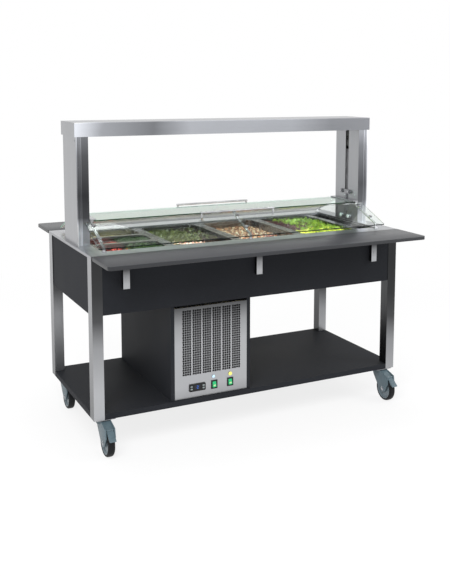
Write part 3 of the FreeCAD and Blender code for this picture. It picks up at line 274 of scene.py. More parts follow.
def painted_reflection_steel(name, roughness, axis, reach, front_reflections, side, lean=0.0, inner=1.0, cover=None, edge=None):
    """Stainless piece with painted reflections in its base colour: painted pale where it would mirror the
    floor and painted dark where it would mirror the room.

    Painted reflection tones are (place in metres, tone) pairs along the axis, for one front or for the left
    and right ones.
    """
    r = Recipe(name)
    upright = axis == "z"
    fine = r.grain((420, 420, 1.2) if upright else (1.2, 420, 420), 2.0)
    cloud = r.grain((7, 7, 2) if upright else (2, 7, 7), 3.0)
    at = r.add("SeparateXYZ", {0: r.coords}).outputs
    along = r.math("MULTIPLY_ADD", at[0], lean, at[2]) if upright else at[0]
    along = r.math("ADD", r.span(along, 0.0, 1.0, *reach), r.span(cloud, -0.012, 0.012, 0.3, 0.7))
    # Painted reflection tones on faces turned to the front, by place along the axis.
    ahead = r.ramp(along, cool_greys(front_reflections[0], *reach))
    if len(front_reflections) > 1:
        right_side = r.span(at[0], 0.0, 1.0, -0.1, 0.1)
        ahead = r.mix(right_side, ahead, r.ramp(along, cool_greys(front_reflections[1], *reach)))
    # Painted highlights and painted shade in bands across the folds.
    if edge:
        span, bands, brightest_highlight = edge
        out = r.span(r.math("ABSOLUTE", at[0]) if upright else at[2], 0.0, 1.0, *span)
        ahead = r.mix(1.0, ahead, r.ramp(out, cool_greys(bands, *span, 1 / brightest_highlight)), "MULTIPLY")
        ahead = r.mix(1.0, ahead, (brightest_highlight, brightest_highlight, brightest_highlight, 1), "MULTIPLY")
    # Painted reflection tones on side faces.
    aside = r.ramp(along, cool_greys(side, *reach))
    facing = r.facing()
    # Painted shade on faces turned towards the middle.
    inward_shade_mask = r.math("LESS_THAN", r.math("MULTIPLY", facing[0], at[0]), 0.0)
    aside = r.toned(inward_shade_mask, aside, (inner, inner, inner))
    base = r.mix(r.math("POWER", r.math("ABSOLUTE", facing[1]), 2.0), aside, ahead)
    # Upward faces take one painted reflection tone.
    if cover:
        upward = r.math("POWER", r.math("MAXIMUM", facing[2], 0.0), 2.0)
        base = r.mix(upward, base, (cover * 0.985, cover, cover * 1.03, 1))
    base = r.toned(r.span(cloud, 0.0, 0.6, 0.35, 0.65), base, (1.1, 1.1, 1.1))
    rough = r.span(fine, roughness - 0.05, roughness + 0.06, 0.3, 0.7)
    bump = r.bump(fine, 0.06, 0.0004)
    return r.finish({"Base Color": base, "Metallic": 1.0, "Roughness": rough, "Normal": bump})


def polished_steel(name, colour, roughness=0.14):
    """Bright bar or wire with fine marks and a faint smear."""
    r = Recipe(name)
    marks = r.grain((180, 180, 180), 4.0)
    smear = r.grain((14, 14, 14), 3.0)
    base = r.mix(r.span(smear, 0.0, 1.0, 0.35, 0.65), rgb(colour, 0.85), rgb(colour, 1.1))
    rough = r.worn(marks, smear, (-0.04, 0.05), roughness, roughness + 0.08, 0.35, 0.65)
    bump = r.bump(marks, 0.03, 0.0003)
    return r.finish({"Base Color": base, "Metallic": 1.0, "Roughness": rough, "Normal": bump})


def laminate_board(name, colour, roughness=0.60, shine=0.08):
    """Matt anthracite laminate: fine pearl texture, faint clouds and slightly rubbed places."""
    r = Recipe(name)
    pearl = r.grain((900, 900, 900), 2.0)
    fleck = r.grain((220, 220, 220), 3.0)
    cloud = r.grain((1.6, 2.2, 2.2), 4.0)
    base = r.mix(r.span(cloud, 0.0, 1.0, 0.3, 0.7), rgb(colour, 0.85), rgb(colour, 1.2))
    base = r.mix(r.span(fleck, 0.0, 0.35, 0.55, 0.75), base, rgb(colour, 1.9))
    rough = r.worn(pearl, cloud, (-0.03, 0.04), roughness - 0.04, roughness + 0.06)
    bump = r.bump(pearl, 0.10, 0.0003)
    return r.finish({"Base Color": base, "Roughness": rough, "Normal": bump, "Specular IOR Level": shine})


def moulded(name, colour, roughness=0.4, spread=0.15, pitted=0.08, shine=0.5):
    """Moulded or painted surface with a fine grain, faint flow clouds and duller worn spots."""
    r = Recipe(name)
    fine = r.grain((700, 700, 700), 2.0)
    cloud = r.grain((26, 26, 26), 4.0)
    wear = r.grain((90, 90, 90), 5.0, 0.7)
    worn_tone = [min(1.0, part * 1.5 + 0.01) for part in colour]
    base = r.mix(r.span(cloud, 0.0, 1.0, 0.3, 0.7), rgb(colour, 1 - spread), rgb(colour, 1 + spread))
    base = r.mix(r.span(wear, 0.0, 0.35, 0.58, 0.75), base, rgb(worn_tone))
    rough = r.worn(fine, cloud, (-0.05, 0.05), roughness - 0.05, roughness + 0.06)
    bump = r.bump(fine, pitted, 0.0004)
    return r.finish({"Base Color": base, "Roughness": rough, "Normal": bump, "Specular IOR Level": shine})


def clear_glass(name, tint, density, face, rim, film_tone=None, share=0.0):
    """Float glass with dark green edges; lamps shine through it, and a pale film can cover its faces."""
    r = Recipe(name)
    film = r.grain((5, 5, 5), 4.0)
    smear = r.mix(r.span(film, 0.0, 1.0, 0.35, 0.7), (*face, 1), rgb(face, 0.985))
    facing = r.facing()
    side = r.math("MAXIMUM", r.math("ABSOLUTE", facing[0]), r.math("ABSOLUTE", facing[1]))
    side = r.math("GREATER_THAN", side, 0.6)
    values = {"Base Color": r.mix(side, smear, (*rim, 1)), "Transmission Weight": 1.0, "IOR": 1.5}
    values["Roughness"] = r.span(film, 0.0, 0.035, 0.45, 0.8)
    body = r.add("BsdfPrincipled", values).outputs[0]
    if film_tone:
        tone_of_film = r.mix(r.span(film, 0.0, 1.0, 0.3, 0.7), (*film_tone, 1), rgb(film_tone, 0.94))
        coat = r.add("BsdfDiffuse", {"Color": tone_of_film})
        amount = r.math("MULTIPLY", r.math("SUBTRACT", 1.0, side), share)
        body = r.add("MixShader", {0: amount, 1: body, 2: coat.outputs[0]}).outputs[0]
    clear = r.add("BsdfTransparent", {"Color": (0.90, 0.95, 0.93, 1)})
    path = r.add("LightPath")
    both = r.add("MixShader", {0: path.outputs["Is Shadow Ray"], 1: body, 2: clear.outputs[0]})
    depth = r.add("VolumeAbsorption", {"Color": (*tint, 1.0), "Density": density})
    r.tree.links.new(both.outputs[0], r.out.inputs["Surface"])
    r.tree.links.new(depth.outputs[0], r.out.inputs["Volume"])
    return r.material


def glowing(name, colour, strength):
    """Lit lens or mark with a faint film."""
    r = Recipe(name)
    film = r.grain((300, 300, 300), 2.0)
    base = r.mix(r.span(film, 0.0, 1.0, 0.3, 0.7), rgb(colour, 0.9), rgb(colour, 1.0))
    light = {"Emission Color": (*colour, 1), "Emission Strength": strength}
    return r.finish({"Base Color": base, "Roughness": 0.3, **light})


def food(name, dark, light, size=90, roughness=0.35):
    """Cut food: mottled between two tones, with paler rims and a moist shine."""
    r = Recipe(name)
    patch = r.grain((size, size, size), 4.0, 0.6)
    speck = r.grain((size * 6, size * 6, size * 6), 3.0)
    rim = [min(1.0, part * 1.35 + 0.02) for part in light]
    base = r.mix(r.span(patch, 0.0, 1.0, 0.36, 0.64), (*dark, 1), (*light, 1))
    base = r.mix(r.span(speck, 0.0, 0.4, 0.5, 0.8), base, rgb(rim))
    rough = r.span(speck, roughness - 0.1, roughness + 0.15, 0.3, 0.7)
    bump = r.bump(speck, 0.25, 0.0008)
    moist = {"Coat Weight": 0.25, "Coat Roughness": 0.2}
    return r.finish({"Base Color": base, "Roughness": rough, "Normal": bump, **moist})


def dress(names, material):
    for name in names:
        slots = NODES[name].material_slots
        if not slots:
            NODES[name].data.materials.append(material)
        for slot in slots:
            slot.link = "OBJECT"
            slot.material = material


# ------------------------------------------------------------------ mesh workshop
def loose_object(name, data):
    """New object in the scene that isn't a piece, or isn't one yet."""
    thing = bpy.data.objects.new(name, data)
    bpy.context.scene.collection.objects.link(thing)
    return thing


def new_piece(name, mesh, material, body):
    piece = loose_object(name, mesh)
    mesh.materials.clear()
    mesh.materials.append(material)
    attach(piece, body)
    return piece


def to_mesh(name, bm, smooth=None):
    bmesh.ops.recalc_face_normals(bm, faces=bm.faces)
    mesh = bpy.data.meshes.new(name)
    bm.to_mesh(mesh)
    bm.free()
    if smooth is not None:
        mesh.shade_smooth()
        mesh.set_sharp_from_angle(angle=math.radians(smooth))
    return mesh


def add_box(bm, low, high):
    made = bmesh.ops.create_cube(bm, size=1.0)["verts"]
    middle = (Vector(low) + Vector(high)) / 2
    size = Vector(high) - Vector(low)
    for v in made:
        v.co = Vector((v.co.x * size.x, v.co.y * size.y, v.co.z * size.z)) + middle
    return made


def add_lathe(bm, profile, segments, place):
    """Closed turned form from (distance from axis, position along X) pairs; place maps it into the frame."""
    rings = []
    for radius, along in profile:
        ring = []
        for k in range(segments):
            a = 2 * math.pi * k / segments
            ring.append(bm.verts.new(place @ Vector((along, radius * math.cos(a), radius * math.sin(a)))))
        rings.append(ring)
    count = len(rings)
    for i in range(count):
        a, b = rings[i], rings[(i + 1) % count]
        for k in range(segments):
            bm.faces.new((a[k], a[(k + 1) % segments], b[(k + 1) % segments], b[k]))


def mirrored(profile):
    """A turned profile, closed by its own mirror image."""
    return profile + [(radius, -along) for radius, along in reversed(profile)]


def middle_of(node):
    low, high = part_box(node)
    return (low + high) / 2


def softened(node, name, width, segments, material, angle=32):
    """Copy of a rigid CAD node with its sharp edges rounded over; it stands for the node."""
    bm = bmesh.new()
    bm.from_mesh(NODES[node].data)
    bmesh.ops.remove_doubles(bm, verts=bm.verts, dist=1e-5)
    bmesh.ops.dissolve_limit(bm, angle_limit=math.radians(1.5), verts=bm.verts, edges=bm.edges)
    limit = math.radians(angle)
    shortest = width * 1.2
    folded = [edge for edge in bm.edges if len(edge.link_faces) == 2 and edge.calc_face_angle(0) > limit]
    sharp = [edge for edge in folded if edge.calc_length() > shortest]
    shape = {"segments": segments, "profile": 0.5, "affect": "EDGES", "clamp_overlap": True}
    bmesh.ops.bevel(bm, geom=sharp, offset=width, **shape)
    piece = new_piece(name, to_mesh(name, bm, smooth=30), material, body_of(NODES[node])[0])
    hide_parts(node)
    return piece


# ------------------------------------------------------------------ geometry trees
class Tree:
    """Small builder for a geometry node tree with named inputs."""

    def __init__(self, name, sockets):
        self.tree = bpy.data.node_groups.new(name, "GeometryNodeTree")
        self.tree.interface.new_socket("Geometry", in_out="INPUT", socket_type="NodeSocketGeometry")
        for label, kind, default in sockets:
            socket = self.tree.interface.new_socket(label, in_out="INPUT", socket_type="NodeSocket" + kind)
            if default is not None:
                socket.default_value = default
        self.tree.interface.new_socket("Geometry", in_out="OUTPUT", socket_type="NodeSocketGeometry")
        self.source = self.tree.nodes.new("NodeGroupInput").outputs
        self.out = self.tree.nodes.new("NodeGroupOutput")

    def add(self, kind, values=None, **settings):
        return wired(self.tree, kind, values, settings)

    def math(self, operation, a, b=0.0):
        return self.add("ShaderNodeMath", {0: a, 1: b}, operation=operation).outputs[0]

    def copies(self, points, socket, turn, size=None):
        """The object of a named input, copied onto points."""
        source = {"Object": self.source[socket]}
        thing = self.add("GeometryNodeObjectInfo", source, transform_space="ORIGINAL")
        values = {"Points": points, "Instance": thing.outputs["Geometry"], "Rotation": turn}
        if size is not None:
            values["Scale"] = size
        return self.add("GeometryNodeInstanceOnPoints", values).outputs[0]

    def end(self, geometry):
        real = self.add("GeometryNodeRealizeInstances", {"Geometry": geometry})
        values = {"Geometry": real.outputs[0], "Material": self.source["Material"]}
        coat = self.add("GeometryNodeSetMaterial", values)
        self.tree.links.new(coat.outputs[0], self.out.inputs[0])
        return self.tree


def run_tree(tree, name, mesh, inputs):
    """Evaluates a geometry tree on a mesh and returns the plain mesh."""
    carrier = loose_object(name + "_carrier", mesh)
    modifier = carrier.modifiers.new("tree", "NODES")
    modifier.node_group = tree
    for item in tree.interface.items_tree:
        if item.item_type == "SOCKET" and item.in_out == "INPUT" and item.name in inputs:
            modifier[item.identifier] = inputs[item.name]
    bpy.context.view_layer.update()
    graph = bpy.context.evaluated_depsgraph_get()
    made = bpy.data.meshes.new_from_object(carrier.evaluated_get(graph))
    made.name = name
    carrier.modifiers.remove(modifier)
    bpy.data.objects.remove(carrier)
    return made


def slot_field_tree():
    """Copies a slotted cell over a field of points; every second cell can be turned a quarter."""
    sockets = [("Cell", "Object", None), ("Weave", "Float", 1.0), ("Columns", "Int", 4)]
    t = Tree("slot_field", sockets + [("Material", "Material", None)])
    points = t.add("GeometryNodeMeshToPoints", {"Mesh": t.source["Geometry"]})
    index = t.add("GeometryNodeInputIndex").outputs[0]
    row = t.math("FLOOR", t.math("DIVIDE", index, t.source["Columns"]))
    odd = t.math("MODULO", t.math("ADD", index, row), 2.0)
    turn = t.math("MULTIPLY", t.math("MULTIPLY", odd, math.pi / 2), t.source["Weave"])
    angles = t.add("ShaderNodeCombineXYZ", {1: turn}).outputs[0]
    return t.end(t.copies(points.outputs[0], "Cell", angles))


def scatter_tree():
    """Strews a piece over a bed with random turns and sizes."""
    sockets = [("Piece", "Object", None), ("Spacing", "Float", 0.01), ("Seed", "Int", 1)]
    sockets += [("Smallest", "Float", 0.8), ("Largest", "Float", 1.2), ("Tumble", "Float", 1.0)]
    t = Tree("strewn_pieces", sockets + [("Material", "Material", None)])
    seed = t.source["Seed"]
    values = {"Mesh": t.source["Geometry"], "Distance Min": t.source["Spacing"], "Density Max": 90000.0}
    values["Seed"] = seed
    spread = t.add("GeometryNodeDistributePointsOnFaces", values, distribute_method="POISSON")
    low = t.math("MULTIPLY", t.source["Tumble"], -math.pi)
    high = t.math("MULTIPLY", t.source["Tumble"], math.pi)
    low_turn = t.add("ShaderNodeCombineXYZ", {0: low, 1: low, 2: -math.pi}).outputs[0]
    high_turn = t.add("ShaderNodeCombineXYZ", {0: high, 1: high, 2: math.pi}).outputs[0]
    limits = {0: low_turn, 1: high_turn, "Seed": seed}
    turn = t.add("FunctionNodeRandomValue", limits, data_type="FLOAT_VECTOR").outputs["Value"]
    limits = {2: t.source["Smallest"], 3: t.source["Largest"], "Seed": seed}
    size = t.add("FunctionNodeRandomValue", limits, data_type="FLOAT").outputs[1]
    return t.end(t.copies(spread.outputs["Points"], "Piece", turn, size))


def fittings_tree():
    """Sets one fitting on every point of a mesh, turned by the angle stored on the point."""
    t = Tree("fitting_rows", [("Fitting", "Object", None), ("Material", "Material", None)])
    points = t.add("GeometryNodeMeshToPoints", {"Mesh": t.source["Geometry"]})
    turn = t.add("GeometryNodeInputNamedAttribute", {"Name": "turn"}, data_type="FLOAT_VECTOR")
    return t.end(t.copies(points.outputs[0], "Fitting", turn.outputs["Attribute"]))


def points_mesh(name, places, turns=None):
    mesh = bpy.data.meshes.new(name)
    mesh.from_pydata([tuple(p) for p in places], [], [])
    if turns is not None:
        data = mesh.attributes.new("turn", "FLOAT_VECTOR", "POINT").data
        for item, value in zip(data, turns):
            item.vector = value
    return mesh


def rows_of(name, fitting_mesh, places, turns, material, smooth=35):
    """One mesh with a fitting at each place."""
    tree = bpy.data.node_groups.get("fitting_rows") or fittings_tree()
    fitting = loose_object(name + "_fitting", fitting_mesh)
    points = points_mesh(name + "_points", places, turns)
    made = run_tree(tree, name, points, {"Fitting": fitting, "Material": material})
    bpy.data.objects.remove(fitting)
    made.shade_smooth()
    made.set_sharp_from_angle(angle=math.radians(smooth))
    return made


# ------------------------------------------------------------------ finishes
def brush_painted_reflection_steel(rough):
    """Legs, posts, beam and brackets, with painted reflections and painted shade; every tone stands at a real
    height, or at a place along the beam.
    """
    # Painted reflection and painted shade on the legs: pale low down, dark higher up.
    leg_front_reflection = [(0.20, 0.32), (0.40, 0.22), (0.52, 0.06), (0.64, 0.035), (0.80, 0.03)]
    leg_side_reflection = [(0.12, 0.16), (0.42, 0.30), (0.78, 0.37)]
    legs = [scaled(leg_front_reflection, 1.48), scaled(leg_front_reflection, 1.22)]
    reach = (0.10, 0.90)
    # The inward faces of the legs take strong painted shade, and their upward faces a painted reflection
    # tone.
    steel = painted_reflection_steel("leg_steel", rough, "z", reach, legs, leg_side_reflection, lean=0.106, inner=0.26, cover=0.4)
    dress(["corner_legs"], steel)

    # Painted reflection tones of the posts by height.
    left_post_reflection = [(0.95, 0.47), (1.02, 0.075), (1.12, 0.04), (1.30, 0.10), (1.38, 0.19)]
    right_post_reflection = [(0.92, 0.48), (1.01, 0.13), (1.10, 0.09), (1.30, 0.20), (1.38, 0.33)]
    outer_corner, middle = 0.785, 0.729
    # Painted highlights along the outer fold and the groove of the posts, with slight painted shade beside
    # the groove.
    corner_fold_highlight = [(outer_corner, 4.0), (0.7816, 3.6), (0.780, 1.4), (0.7715, 1.4)]
    groove_highlight_and_shade = [(0.770, 2.0), (0.7615, 1.9), (0.760, 0.85), (0.757, 1.0)]
    fold_highlights_and_shade = ((outer_corner, middle), corner_fold_highlight + groove_highlight_and_shade, 4.0)
    side = [(0.88, 0.37), (1.40, 0.37)]
    posts = [left_post_reflection, right_post_reflection]
    dress(["posts"], painted_reflection_steel("post_steel", rough, "z", (0.88, 1.40), posts, side, edge=fold_highlights_and_shade))

    # Painted reflection tones along the front of the beam.
    beam_front_reflection = [(-0.78, 0.85), (-0.66, 0.38), (-0.42, 0.21), (-0.24, 0.45), (0.30, 0.38), (0.56, 0.22)]
    side = [(-0.8, 0.37), (0.8, 0.37)]
    # Painted highlight along the upper fold of the beam; the top of the beam takes a painted reflection tone.
    upper_fold_highlight = ((1.386, 1.450), [(1.4455, 1.0), (1.450, 1.4)], 1.4)
    steel = painted_reflection_steel("beam_steel", rough, "x", (-0.8, 0.8), [beam_front_reflection], side, cover=0.42, edge=upper_fold_highlight)
    dress(["gantry_beam"], steel)

    # Painted reflection and painted shade on the tray brackets, darker higher up and on their sides.
    bracket_front_reflection = [(0.76, 0.42), (0.80, 0.25), (0.825, 0.07)]
    side = [(0.74, 0.12), (0.88, 0.10)]
    dress(["tray_brackets"], painted_reflection_steel("bracket_steel", 0.3, "z", (0.74, 0.88), [bracket_front_reflection], side))


def brush_plain_steel(steel, rough):
    """Counter, pans, tank, cabinet back, hood bars, cables and zinc-coated parts."""
    # Counter, pan, unit and carriage steel take painted shade on their end faces; the pans' upward faces also
    # take a painted highlight.
    dress(["counter_top"], brushed_steel("counter_steel", steel, rough, "x", 0.8, 1.0))
    pan = brushed_steel("pan_steel", (0.36, 0.365, 0.38), 0.24, "x", 0.7, 1.2)
    dress(["pans_full", "pans_third", "well_tank"], pan)
    dress(["unit_rear_panel"], brushed_steel("unit_steel", steel, rough, "x", 0.8))
    dress(["hood_carriages"], brushed_steel("carriage_steel", (0.42, 0.425, 0.44), 0.25, "y", 0.7))
    dress(["hood_struts", "bow_handles"], polished_steel("bar_steel", (0.68, 0.685, 0.70)))
    zinc = moulded("zinc_coat", (0.24, 0.245, 0.26), 0.4, 0.12, 0.05)
    dress(["front_tray_arms", "rear_tray_arms", "unit_base", "castor_plates"], zinc)
    dress(["drain_valve"], polished_steel("valve_metal", (0.44, 0.40, 0.34), 0.22))
    dress(["hood_cables", "weight_cables"], brushed_steel("cable_wire", (0.30, 0.30, 0.31), 0.35, "x", 1.0))


def lay_boards(laminate):
    board = laminate_board("anthracite_laminate", laminate)
    dress(["lower_shelf", "long_skirts", "end_skirts", "unit_side_panels"], board)
    dress(["front_tray_board", "rear_tray_board"], tray_laminate("tray_laminate", laminate))


def tray_laminate(name, laminate):
    """Laminate of the tray slides, a little darker and shinier than the panels."""
    return laminate_board(name, [part * 0.9 for part in laminate], 0.36, 0.50)


def fit_glass(tint):
    rim = (0.03, 0.20, 0.13)
    dress(["top_glass"], clear_glass("hood_glass", tint, 20.0, (0.895, 0.985, 0.925), rim))
    dress(["front_glass"], clear_glass("slope_glass", tint, 3.0, (0.87, 0.90, 0.885), rim))
    film, share = (0.80, 0.745, 0.69), 0.55
    dress(["rear_glass"], clear_glass("rear_slope_glass", tint, 3.0, (0.94, 0.92, 0.89), rim, film, share))


def colour_controls(housing):
    black = moulded("black_moulding", (0.005, 0.0053, 0.006), 0.3, 0.2, 0.06, 0.35)
    dress(["controller", "switch_bezels", "electrical_box"], black)
    dress(["cooling_rocker", "lamp_rocker"], glowing("green_rocker", (0.01, 0.36, 0.13), 0.35))
    keys = ["controller_button_%d" % number for number in (1, 2, 3, 4)]
    dress(keys, moulded("grey_key", (0.20, 0.23, 0.23), 0.45, 0.1))
    pedal = moulded("pedal_moulding", [part * 1.1 for part in housing], 0.42)
    dress(["brake_pedal_fl", "brake_pedal_fr"], pedal)


def colour_inner_parts():
    """Insulation, cooling circuit, fan, weights, pulleys, lamp and drain lever."""
    dress(["tank_insulation"], moulded("yellow_foam", (0.62, 0.52, 0.28), 0.85, 0.2, 0.4, 0.2))
    copper = polished_steel("copper_tube", (0.62, 0.26, 0.14), 0.28)
    dress(["evaporator_coil", "refrigerant_lines"], copper)
    enamel = moulded("black_enamel", (0.012, 0.012, 0.014), 0.3, 0.25, 0.05)
    dress(["compressor", "fan_frame", "fan_blade"], enamel)
    # The fins take a little painted shade on their end faces.
    dress(["condenser_coil"], brushed_steel("fin_metal", (0.045, 0.047, 0.05), 0.5, "z", 0.9))
    dress(["counterweights"], moulded("zinc_weight", (0.42, 0.425, 0.44), 0.45, 0.2, 0.3, 0.5))
    dress(["cable_pulleys"], moulded("pulley_nylon", (0.45, 0.45, 0.44), 0.4, 0.1))
    dress(["lamp_diffuser"], moulded("opal_diffuser", (0.80, 0.80, 0.78), 0.35, 0.04, 0.03))
    dress(["drain_lever"], moulded("red_dip", (0.42, 0.02, 0.015), 0.35, 0.15))


class SALADBAR_OT_finishes(bpy.types.Operator):
    """Gives the frame's nodes their finishes"""

    bl_idname = "saladbar.finishes"
    bl_label = "Finishes"

    def execute(self, context):
        finishes = context.scene.salad_bar.finishes
        brush_painted_reflection_steel(finishes.steel_roughness)
        brush_plain_steel(tuple(finishes.steel), finishes.steel_roughness)
        lay_boards(tuple(finishes.laminate))
        fit_glass(tuple(finishes.glass))
        colour_controls(tuple(finishes.housing))
        colour_inner_parts()
        return {"FINISHED"}


# ------------------------------------------------------------------ perforated sheets
def slot_cell(name, wide, tall, slot, slot_width, thick):
    """One cell of perforated sheet in the XZ plane, front face at Y = 0, with a slot along X."""
    xs = [-wide / 2, -slot / 2, slot / 2, wide / 2]
    zs = [-tall / 2, -slot_width / 2, slot_width / 2, tall / 2]
    bm = bmesh.new()
    grid = [[[bm.verts.new((x, y, z)) for z in zs] for x in xs] for y in (0.0, thick)]
    for i in range(3):
        for j in range(3):
            if i == 1 and j == 1:
                continue
            for side in (0, 1):
                g = grid[side]
                bm.faces.new((g[i][j], g[i + 1][j], g[i + 1][j + 1], g[i][j + 1]))
    ring = [(1, 1), (2, 1), (2, 2), (1, 2)]
    for (a, b), (c, d) in zip(ring, ring[1:] + ring[:1]):
        bm.faces.new((grid[0][a][b], grid[0][c][d], grid[1][c][d], grid[1][a][b]))
    return to_mesh(name, bm)


def slot_field(bm, places, cell, weave, columns, steel):
    """Adds a field of slotted cells to a mesh under construction."""
    tree = bpy.data.node_groups.get("slot_field") or slot_field_tree()
    inputs = {"Cell": cell, "Weave": weave, "Columns": columns, "Material": steel}
    bm.from_mesh(run_tree(tree, "field", points_mesh("field_points", places), inputs))


class SALADBAR_OT_grille(bpy.types.Operator):
    """Builds the stainless grille sheet with six columns of woven air slots"""

    bl_idname = "saladbar.grille"
    bl_label = "Grille sheet"

    def execute(self, context):
        sheets = context.scene.salad_bar.sheets
        pitch, thick = sheets.cell, sheets.sheet
        low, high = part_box("grille_panel")
        front, back = low.y, low.y + thick
        left, right = low.x + 0.038, high.x - 0.034
        bottom, top = low.z + 0.108, high.z - 0.014
        columns, across = 6, 4
        wide = across * pitch
        step = (right - left - wide) / (columns - 1)
        rows = round((top - bottom) / pitch)
        rise = (top - bottom) / rows
        rough = context.scene.salad_bar.finishes.steel_roughness + 0.02
        # Painted reflection tones on the grille by height, dark at the top; its side and upward faces take
        # painted shade.
        tones = [(0.19, 0.37), (0.24, 0.45), (0.44, 0.45), (0.53, 0.34), (0.61, 0.11)]
        side = [(0.186, 0.1), (0.616, 0.1)]
        steel = painted_reflection_steel("grille_steel", rough, "z", (0.186, 0.616), [tones], side, cover=0.2)
        cell_mesh = slot_cell("slot_cell", pitch, rise, sheets.slot, sheets.slot_width, thick)
        cell = loose_object("slot_cell", cell_mesh)
        bm = bmesh.new()
        for column in range(columns):
            start = left + column * step
            places = []
            for j in range(rows):
                for i in range(across):
                    places.append((start + (i + 0.5) * pitch, front, bottom + (j + 0.5) * rise))
            slot_field(bm, places, cell, 1.0, across, steel)
            if column < columns - 1:
                add_box(bm, (start + wide, front, bottom), (start + step, back, top))
        bpy.data.objects.remove(cell)
        self.margins(bm, low, high, (left, right, bottom, top), front, back)
        piece = new_piece("grille_sheet", to_mesh("grille_sheet", bm), steel, CART)
        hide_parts("grille_panel")
        return {"FINISHED"}

    def margins(self, bm, low, high, field, front, back):
        """Plain sheet round the slots and round the cut-outs of the controls, with the upper fold."""
        left, right, bottom, top = field
        row_middle, row_half = low.z + 0.047, 0.0174
        row_low, row_high = row_middle - row_half, row_middle + row_half
        fold_depth, fold_height = 0.012, 0.0015
        add_box(bm, (low.x, front, bottom), (left, back, top))
        add_box(bm, (right, front, bottom), (high.x, back, top))
        add_box(bm, (low.x, front, top), (high.x, back, high.z))
        add_box(bm, (low.x, front, row_high), (high.x, back, bottom))
        add_box(bm, (low.x, front, low.z), (high.x, back, row_low))
        controller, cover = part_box("controller"), 0.004
        edges = [low.x, controller[0].x + cover, controller[1].x - cover]
        switch_half = 0.012
        for switch in ("cooling_rocker", "lamp_rocker"):
            middle = middle_of(switch).x
            edges += [middle - switch_half, middle + switch_half]
        edges.append(high.x)
        for start, end in zip(edges[0::2], edges[1::2]):
            add_box(bm, (start, front, row_low), (end, back, row_high))
        add_box(bm, (low.x, front, high.z - fold_height), (high.x, front + fold_depth, high.z))


class SALADBAR_OT_dividers(bpy.types.Operator):
    """Builds the perforated divider strips between the pan places"""

    bl_idname = "saladbar.dividers"
    bl_label = "Divider strips"

    def execute(self, context):
        pitch = context.scene.salad_bar.sheets.strip_cell
        low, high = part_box("divider_bars")
        top, end = high.z, high.y
        strips, columns, slotted_length = 4, 2, 0.500
        half, flange_half, flange_end = 0.0082, 0.0175, 0.2557
        sheet, flange, wall = 0.0012, 0.002, 0.0008
        steel = brushed_steel("strip_steel", (0.50, 0.505, 0.52), 0.25, "y", 1.0, 1.0)
        cell_mesh = slot_cell("strip_cell", half, pitch, 0.0056, 0.0026, sheet)
        cell_mesh.transform(Matrix.Rotation(-math.pi / 2, 4, "X"))
        cell = loose_object("strip_cell", cell_mesh)
        rows = int(slotted_length / pitch)
        reach = rows * pitch / 2
        first, last = low.x + flange_half, high.x - flange_half
        bm = bmesh.new()
        for strip in range(strips):
            middle = first + strip * (last - first) / (strips - 1)
            places = []
            for j in range(rows):
                for i in range(columns):
                    places.append((middle + (i - 0.5) * half, -reach + (j + 0.5) * pitch, top))
            slot_field(bm, places, cell, 0.0, columns, steel)
            for side in (-1, 1):
                near, far = sorted((side * reach, side * end))
                add_box(bm, (middle - half, near, top - sheet), (middle + half, far, top))
                near, far = sorted((middle + side * half, middle + side * flange_half))
                add_box(bm, (near, -flange_end, low.z), (far, flange_end, low.z + flange))
                near, far = sorted((middle + side * (half - wall), middle + side * half))
                add_box(bm, (near, -flange_end, low.z), (far, flange_end, top - sheet))
        bpy.data.objects.remove(cell)
        piece = new_piece("divider_strips", to_mesh("divider_strips", bm), steel, CART)
        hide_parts("divider_bars")
        return {"FINISHED"}


# ------------------------------------------------------------------ castors and boards
class SALADBAR_OT_wheels(bpy.types.Operator):
    """Turns the four tyres, their discs and the heads of their axles"""

    bl_idname = "saladbar.wheels"
    bl_label = "Castor wheels"

    def execute(self, context):
        wheels = context.scene.salad_bar.wheels
        rim, outer, half = wheels.rim, wheels.tread, wheels.half_width
        segments, head_segments = wheels.segments, 20
        rubber = moulded("tyre_rubber", tuple(context.scene.salad_bar.finishes.tyre), 0.55, 0.2, 0.2, 0.2)
        grey = moulded("disc_moulding", (0.13, 0.165, 0.185), 0.38, 0.1, 0.06)
        bolt = polished_steel("axle_steel", (0.5, 0.5, 0.52), 0.2)
        tread = [(rim + 0.0001, half), (rim + 0.0045, half), (outer - 0.0045, half - 0.001)]
        tread += [(outer - 0.0018, half - 0.0032), (outer - 0.0004, half - 0.0065), (outer, 0.004)]
        dish = [(0.0062, half + 0.0012), (0.0165, half + 0.0012), (0.0180, half - 0.0005)]
        dish += [(0.0200, half - 0.0060), (0.0400, half - 0.0085), (0.0435, half - 0.0075)]
        dish += [(0.0450, half - 0.0035), (0.0462, half - 0.0022), (rim, half - 0.0015)]
        head = [(0.0001, 0.0262), (0.0045, 0.0262), (0.0062, 0.0252), (0.0066, 0.0232)]
        head += [(0.0098, 0.0232), (0.0098, 0.0228), (0.0001, 0.0228)]
        for corner in CORNERS:
            node = "castor_wheel_" + corner
            hub = Matrix.Translation(middle_of(node))
            for name, profile, angle, material in (("tyre_", tread, 40, rubber), ("disc_", dish, 28, grey)):
                bm = bmesh.new()
                add_lathe(bm, mirrored(profile), segments, hub)
                mesh = to_mesh(name + corner, bm, angle)
                piece = new_piece(name + corner, mesh, material, "wheel_" + corner)
                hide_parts(node)
            bm = bmesh.new()
            for side in (-1, 1):
                add_lathe(bm, head, head_segments, hub @ Matrix.Scale(side, 4, (1, 0, 0)))
            name = "axle_heads_" + corner
            new_piece(name, to_mesh(name, bm, 30), bolt, "swivel_" + corner)
        return {"FINISHED"}


